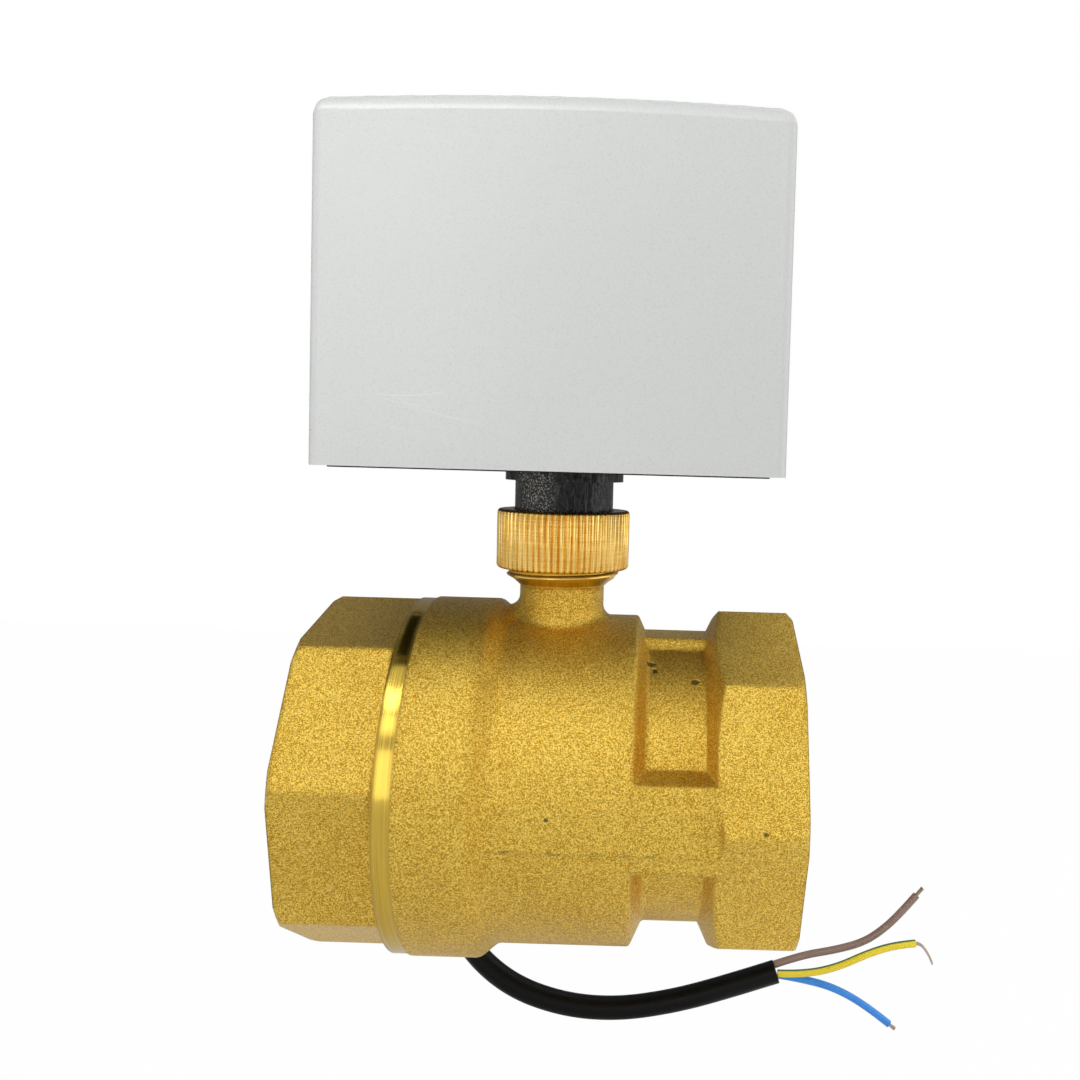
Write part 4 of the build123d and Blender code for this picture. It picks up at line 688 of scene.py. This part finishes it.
def nut_step(edges, rise, radius=None, grow=0.0):
    """Draws the nut's last edge loop on to its next one: up or down, and in or out."""
    drawn = bmesh.ops.extrude_edge_only(nut_mesh, edges=edges)["geom"]
    for corner in [part for part in drawn if isinstance(part, bmesh.types.BMVert)]:
        out = Vector((corner.co.x - STEM_X, corner.co.y))
        reach = radius if radius else out.length + grow
        out = out.normalized() * reach
        corner.co = (STEM_X + out.x, out.y, corner.co.z + rise)
    return [part for part in drawn if isinstance(part, bmesh.types.BMEdge)]


nut_height = nut_high.z - nut_low.z
foot_edges = list(nut_mesh.edges)
loop = nut_step(foot_edges, NUT_EASE * 0.5, grow=NUT_EASE * 0.5)
loop = nut_step(loop, NUT_EASE * 0.5, grow=NUT_EASE * 0.25)
loop = nut_step(loop, nut_height - 2 * NUT_EASE)
loop = nut_step(loop, NUT_EASE * 0.5, grow=-NUT_EASE * 0.25)
loop = nut_step(loop, NUT_EASE * 0.5, grow=-NUT_EASE * 0.5)
loop = nut_step(loop, 0.0, radius=NUT_TOP_R)
loop = nut_step(loop, 0.0, radius=NUT_LIP_BORE_R)
loop = nut_step(loop, -NUT_LIP)
loop = nut_step(loop, 0.0, radius=NUT_BORE_R)
loop = nut_step(loop, NUT_LIP - nut_height + NUT_BORE_EASE)
nut_step(loop, -NUT_BORE_EASE, radius=NUT_BORE_R + NUT_BORE_EASE)
nut_step(foot_edges, 0.0, radius=NUT_BORE_R + NUT_BORE_EASE)
for corner in nut_mesh.verts:
    out = Vector((corner.co.x - STEM_X, corner.co.y))
    shrink = NUT_RIM_SHRINK if out.length > NUT_R - NUT_RIM_WIDTH else 0.0
    out = out.normalized() * (out.length - shrink)
    corner.co.x, corner.co.y = STEM_X + out.x, out.y
rosy = Finish("rosy_turned_brass", Metallic=1.0)
rosy_x, rosy_y = rosy.axes(rosy.place())[:2]
rosy_valley = rosy.rise(rosy.from_line(rosy_x - STEM_X, rosy_y), *NUT_VALLEY_R)
rosy_streaks = rosy.noise(1.0, rosy.place(NUT_STREAKS), 3.0, 0.6)
rosy_rings = rosy.noise(1.0, rosy.place(NUT_RINGS), 2.0, 0.6)
# Paler brass along the machining streaks and rings: partly wear, partly a painted highlight.
rosy_wear_and_highlight = rosy.rise(rosy_streaks * 0.7 + rosy_rings * 0.3, 0.36, 0.64)
rosy_brass = rosy.show(
    Base_Color=rosy.mix(rosy_valley * 0.9, rosy.mix(rosy_wear_and_highlight, ROSY_DULL, ROSY_BRIGHT), VALLEY_BROWN),
    Roughness=rosy.rise(rosy_wear_and_highlight, 0.0, 1.0, 0.30, 0.16),
    Normal=rosy.bump(rosy_wear_and_highlight, 0.00002, 0.8),
)
settle("union_nut", nut_mesh, rosy_brass, "nut", ("knurled_nut",), sharp=60.0)

# Ball and seats: a chromed ball with its waterway open along the pipe, between two white rings that
# it turns against. The flat seals of the cap and the stem are of the same white plastic.
CHROME_LINES = (900.0, 900.0, 60.0)
CHROME_DIM = (0.72, 0.72, 0.74)
CHROME_CLEAR = (0.84, 0.84, 0.85)
SEAT_STAINED = (0.74, 0.73, 0.69)
SEAT_WHITE = (0.86, 0.86, 0.83)
chrome = Finish("chromed_ball", Metallic=1.0)
chrome_wear = chrome.noise(1.0, chrome.place(CHROME_LINES), 3.0)
chromed = chrome.show(
    Base_Color=chrome.mix(chrome_wear, CHROME_DIM, CHROME_CLEAR),
    Roughness=chrome.rise(chrome_wear, 0.35, 0.7, 0.06, 0.14),
)
dress(chromed, "ball")
fluor = Finish("white_seat_plastic", Subsurface_Weight=0.1, Subsurface_Scale=0.001)
fluor_place = fluor.place()
fluor_stain = fluor.noise(260.0, fluor_place, 4.0)
white_seat = fluor.show(
    Base_Color=fluor.mix(fluor_stain, SEAT_STAINED, SEAT_WHITE),
    Roughness=fluor.spread(fluor_stain, 0.35, 0.5),
    Normal=fluor.bump(fluor.noise(2200.0, fluor_place), 0.00001, 0.5),
)
dress(white_seat, "left_seat", "right_seat", "body_gasket", "stem_washer")

# Base: black glass-filled nylon with a fine speckle where the glass shows. Its collar stands in the
# union nut and shows a painted highlight of pale specks on its left side, and its plate closes the cover.
NYLON_FLOW = (420.0, 420.0, 110.0)
NYLON_BLACK = (0.0040, 0.0040, 0.0035)
NYLON_GLASS = (0.060, 0.057, 0.048)
# Pale specks on the collar left of the stem are a painted highlight.
NYLON_PAINTED_HIGHLIGHT = (0.520, 0.500, 0.440)
HIGHLIGHT_X = (STEM_X - 0.0085, STEM_X - 0.0015)
HIGHLIGHT_X_EDGE = 0.0015
HIGHLIGHT_R = (0.0140, 0.0130)
nylon = Finish("black_nylon", Specular_IOR_Level=0.28)
nylon_place = nylon.place()
nylon_x, nylon_y = nylon.axes(nylon_place)[:2]
nylon_glass = nylon.noise(1500.0, nylon_place, 3.0, 0.7)
nylon_flow = nylon.noise(1.0, nylon.place(NYLON_FLOW), 3.0, 0.6)
nylon_shine = nylon.rise(nylon_glass * 0.55 + nylon_flow * 0.45, 0.53, 0.63)
nylon_collar = nylon.rise(nylon.from_line(nylon_x - STEM_X, nylon_y), *HIGHLIGHT_R)
nylon_specks = nylon.rise(nylon.noise(3200.0, nylon_place, 2.0, 0.6), 0.52, 0.64)
# The collar's left side gets pale specks here: a painted highlight.
nylon_painted_highlight = nylon.within(nylon_x, *HIGHLIGHT_X, HIGHLIGHT_X_EDGE) * nylon_collar * nylon_specks
black_nylon = nylon.show(
    Base_Color=nylon.mix(nylon_painted_highlight, nylon.mix(nylon_shine, NYLON_BLACK, NYLON_GLASS), NYLON_PAINTED_HIGHLIGHT),
    Roughness=nylon.rise(nylon_shine, 0.0, 1.0, 0.16, 0.34),
    Normal=nylon.bump(nylon_glass, 0.00006, 0.6, nylon.bump(nylon_flow, 0.00110, 1.0)),
)
dress(black_nylon, "base_plate")

# Cover: one pale grey ABS moulding with a finely etched skin, slightly crowned on top. Handling has
# left a few faint scratches low on its front, each given by its two ends across, its height, its
# slope and its half width.
COVER_WALL = 0.0025
COVER_CROWN = 0.0013
COVER_SIDE_ROUND = 0.0026
COVER_TOP_ROUND = 0.0045
ROUND_STEPS = 8
CROWN_CUTS = 12
SAME_PLACE = 0.00001
SCRATCHES = [
    (0.0173, 0.0301, 0.0788, 0.060, 0.00010),
    (0.0205, 0.0379, 0.0783, -0.285, 0.00008),
    (0.0190, 0.0285, 0.0781, -0.110, 0.00006),
    (0.0230, 0.0350, 0.0770, -0.200, 0.00005),
    (0.0160, 0.0270, 0.0740, -0.180, 0.00006),
]
SCRATCH_BOW = 9.0
SCRATCH_WANDER = 0.0012
SCRATCH_FADE = 0.0012
SCRATCHED_FACE_Y = (-0.0275, -0.0285)
ABS_SHADED = (0.600, 0.609, 0.590)
ABS_PALE = (0.632, 0.641, 0.622)
ABS_SCRATCHED = (0.86, 0.86, 0.86)
cover_low, cover_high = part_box("housing_cover")
cover_middle = (cover_low + cover_high) / 2
cover_size = cover_high - cover_low
cover_mesh = bmesh.new()
bmesh.ops.create_cube(
    cover_mesh,
    size=1.0,
    matrix=Matrix.Translation(cover_middle) @ Matrix.Diagonal((*cover_size, 1.0)),
)
long_edges = [e for e in cover_mesh.edges if abs(e.verts[0].co.x - e.verts[1].co.x) > cover_size.x / 2]
bmesh.ops.subdivide_edges(cover_mesh, edges=long_edges, cuts=CROWN_CUTS, use_grid_fill=True)
for corner in cover_mesh.verts:
    if corner.co.z > cover_middle.z:
        share = (corner.co.x - cover_middle.x) / (cover_size.x / 2)
        corner.co.z -= COVER_CROWN * share**2
open_faces = [face for face in cover_mesh.faces if face.normal.z < -0.9]
bmesh.ops.delete(cover_mesh, geom=open_faces, context="FACES_ONLY")
roundness = cover_mesh.edges.layers.float.new("bevel_weight_edge")
for edge in cover_mesh.edges:
    ends = edge.verts
    upright = abs(ends[0].co.z - ends[1].co.z) > cover_size.z / 2
    outer_x = all(abs(abs(v.co.x - cover_middle.x) - cover_size.x / 2) < SAME_PLACE for v in ends)
    outer_y = all(abs(abs(v.co.y - cover_middle.y) - cover_size.y / 2) < SAME_PLACE for v in ends)
    on_top = min(v.co.z for v in ends) > cover_middle.z
    if upright and outer_x and outer_y:
        edge[roundness] = COVER_SIDE_ROUND / COVER_TOP_ROUND
    elif on_top and (outer_x or outer_y):
        edge[roundness] = 1.0
abs_skin = Finish("pale_grey_abs", Specular_IOR_Level=0.75)
abs_place = abs_skin.place()
abs_x, abs_y, abs_z = abs_skin.axes(abs_place)
abs_etch = abs_skin.noise(3400.0, abs_place, 2.0, 0.6)
abs_cloud = abs_skin.noise(28.0, abs_place, 3.0)
scratched = 0.0
for left, right, height, slope, half_width in SCRATCHES:
    from_middle = abs_x - (left + right) / 2
    bend = from_middle * from_middle * SCRATCH_BOW
    gap = abs(abs_z - height - (abs_x - left) * slope - bend + (abs_cloud - 0.5) * SCRATCH_WANDER)
    depth = abs_skin.rise(gap, half_width, half_width * 0.3)
    line = depth * abs_skin.within(abs_x, left, right, SCRATCH_FADE)
    scratched = abs_skin.sum("MAXIMUM", scratched, line * abs_skin.rise(abs_y, *SCRATCHED_FACE_Y))
pale_abs = abs_skin.show(
    Base_Color=abs_skin.mix(scratched * 0.6, abs_skin.mix(abs_cloud, ABS_SHADED, ABS_PALE), ABS_SCRATCHED),
    Roughness=abs_skin.spread(abs_etch, 0.26, 0.34) - scratched * 0.10,
    Normal=abs_skin.bump(abs_etch - scratched * 0.8, 0.000014, 0.6),
)
cover = settle("cover_shell", cover_mesh, pale_abs, "valve", ("housing_cover",), sharp=60.0)
rounding = cover.modifiers.new("rounded_edges", "BEVEL")
rounding.limit_method = "WEIGHT"
rounding.width = COVER_TOP_ROUND
rounding.segments = ROUND_STEPS
rounding.profile = 0.5
wall = cover.modifiers.new("wall", "SOLIDIFY")
wall.thickness = COVER_WALL
wall.offset = -1.0
flat_sides = cover.modifiers.new("flat_sides", "WEIGHTED_NORMAL")
flat_sides.keep_sharp = True

# Steel pieces: zinc-plated screws, spacers, pins, the gear plate and the motor's drawn can. None of
# them shows until the cover is off, apart from the screw heads under the base.
STEEL_LINES = (300.0, 2400.0, 300.0)
STEEL_DULL = (0.44, 0.44, 0.45)
STEEL_BRIGHT = (0.62, 0.62, 0.63)
steel = Finish("plated_steel", Metallic=1.0)
steel_clouds = steel.noise(420.0, steel.place(), 4.0)
steel_lines = steel.noise(1.0, steel.place(STEEL_LINES), 3.0)
plated_steel = steel.show(
    Base_Color=steel.mix(steel_clouds, STEEL_DULL, STEEL_BRIGHT),
    Roughness=steel.rise(steel_clouds * 0.5 + steel_lines * 0.5, 0.35, 0.65, 0.24, 0.40),
    Normal=steel.bump(steel_lines, 0.000008, 0.7),
)
dress(
    plated_steel,
    "nut_washer",
    "snap_ring",
    "cover_screws",
    "gear_plate",
    "motor_can",
    "motor_screws",
    "board_spacers",
    "motor_pinion",
    "idler_pin",
    "output_shaft",
    "switch_screws",
    "board_screws",
)

# Moulded and potted pieces inside the cover: gears and cams, switches with their buttons, and what
# stands on the circuit board. Each has its darkest and lightest colour, its least and most
# roughness, and its nodes.
MOULDINGS = {
    "acetal_gears": (
        (0.72, 0.70, 0.64),
        (0.82, 0.80, 0.74),
        (0.32, 0.45),
        ("idler_gear", "output_gear", "cam_disc"),
    ),
    "black_switch": (
        (0.010, 0.010, 0.011),
        (0.022, 0.022, 0.023),
        (0.35, 0.50),
        ("open_switch", "closed_switch"),
    ),
    "red_button": (
        (0.45, 0.020, 0.015),
        (0.58, 0.035, 0.025),
        (0.30, 0.42),
        ("open_button", "closed_button"),
    ),
    "green_board": ((0.012, 0.090, 0.030), (0.020, 0.130, 0.045), (0.22, 0.34), ("circuit_board",)),
    "blue_relay": ((0.012, 0.050, 0.230), (0.020, 0.075, 0.300), (0.30, 0.45), ("relay",)),
    "yellow_capacitor": ((0.52, 0.36, 0.02), (0.62, 0.44, 0.04), (0.25, 0.38), ("capacitor",)),
    "green_terminals": ((0.020, 0.200, 0.060), (0.035, 0.260, 0.085), (0.30, 0.45), ("terminal_block",)),
}
for name, (dark, light, roughness, nodes) in MOULDINGS.items():
    skin = Finish(name)
    skin_place = skin.place()
    skin_flow = skin.noise(240.0, skin_place, 4.0)
    moulded = skin.show(
        Base_Color=skin.mix(skin_flow, dark, light),
        Roughness=skin.spread(skin_flow, *roughness),
        Normal=skin.bump(skin.noise(2000.0, skin_place), 0.00002, 0.4),
    )
    dress(moulded, *nodes)

# Setting: a white floor below the cable and a white backdrop, in a pale room of five broad soft
# lights. A window and two smaller lamps draw the bright streaks on the brass. In reflections the
# floor is darker to the left of the outlet's octagon, as on the photograph's brass.
FLOOR_Z = -0.0830
SETTING_SIZE = 3.0
SETTING_X = 0.05
BACKDROP_Y = 0.62
FLOOR_STEP_X = (0.080, 0.100)
FLOOR_LOOK = (0.985, 0.80, (0.25, 0.66))
BACKDROP_LOOK = (1.0, 0.25, (0.05, 0.05))
LIGHT_TARGET = Vector((SETTING_X, 0.0, 0.02))
LIGHTS = [
    ("window", (0.05, -0.66, 0.60), (0.80, 0.20), 0.55),
    ("window_left", (-0.24, -0.86, 0.20), (0.30, 0.46), 0.6),
    ("upper_left", (-0.05, -0.16, 0.25), (0.20, 0.06), 0.14),
    ("room_front", (0.05, -1.00, 0.26), (1.90, 1.40), 4.2),
    ("ceiling", (0.05, -0.50, 0.95), (1.90, 0.90), 3.7),
    ("ceiling_back", (0.25, 0.55, 0.80), (1.70, 0.70), 3.3),
    ("room_right", (1.10, 0.00, 0.25), (1.20, 1.10), 5.6),
    ("room_left", (-1.00, -0.30, 0.00), (1.20, 0.90), 2.6),
]
ROOM_COLOUR = (0.92, 0.95, 1.0, 1.0)
ROOM_STRENGTH = 0.22


def setting_white(name, whiteness, matt, reflected):
    """White for the camera, dimmer in reflections, and a plain matt grey for light and shadow."""
    white = Finish(name, Base_Color=(matt, matt, matt, 1.0), Roughness=0.9)
    across = white.axes(white.place())[0]
    glossy = white.node("ShaderNodeLightPath", {}, {}, "Is Glossy Ray")
    seen = white.node("ShaderNodeLightPath", {}, {}, "Is Camera Ray")
    seen_through = white.node("ShaderNodeLightPath", {}, {}, "Is Transmission Ray")
    direct = white.sum("MAXIMUM", seen, seen_through)
    mirrored = glossy * white.rise(across, *FLOOR_STEP_X, *reflected)
    glow = white.node("ShaderNodeEmission", {}, {"Color": (1.0, 1.0, 1.0, 1.0), "Strength": 1.0})
    plain = Value(white, white.shader.outputs[0])
    share = white.sum("MAXIMUM", direct, mirrored) * whiteness
    shown = white.node("ShaderNodeMixShader", {}, {0: share, 1: plain, 2: glow})
    white.tree.links.new(shown.socket, white.tree.nodes["Material Output"].inputs["Surface"])
    return white.material


level = Matrix.Translation((SETTING_X, 0.0, FLOOR_Z))
standing = Matrix.Translation((SETTING_X, BACKDROP_Y, 0.0)) @ Matrix.Rotation(math.radians(90), 4, "X")
for name, matrix, look in (("floor", level, FLOOR_LOOK), ("backdrop", standing, BACKDROP_LOOK)):
    plane_mesh = bmesh.new()
    bmesh.ops.create_grid(plane_mesh, x_segments=1, y_segments=1, size=SETTING_SIZE / 2, matrix=matrix)
    surface = bpy.data.meshes.new(name)
    plane_mesh.to_mesh(surface)
    plane_mesh.free()
    surface.materials.append(setting_white("white_" + name, *look))
    plane = bpy.data.objects.new(name, surface)
    bpy.context.collection.objects.link(plane)
for name, place, size, watts in LIGHTS:
    lamp = bpy.data.lights.new(name, "AREA")
    lamp.shape = "RECTANGLE"
    lamp.size, lamp.size_y = size
    lamp.energy = watts
    light = bpy.data.objects.new(name, lamp)
    aim = (LIGHT_TARGET - Vector(place)).to_track_quat("-Z", "Y")
    light.matrix_world = Matrix.Translation(place) @ aim.to_matrix().to_4x4()
    bpy.context.collection.objects.link(light)
world = bpy.data.worlds.new("room")
bpy.context.scene.world = world
world.use_nodes = True
world.node_tree.nodes["Background"].inputs["Color"].default_value = ROOM_COLOUR
world.node_tree.nodes["Background"].inputs["Strength"].default_value = ROOM_STRENGTH

bpy.context.view_layer.update()
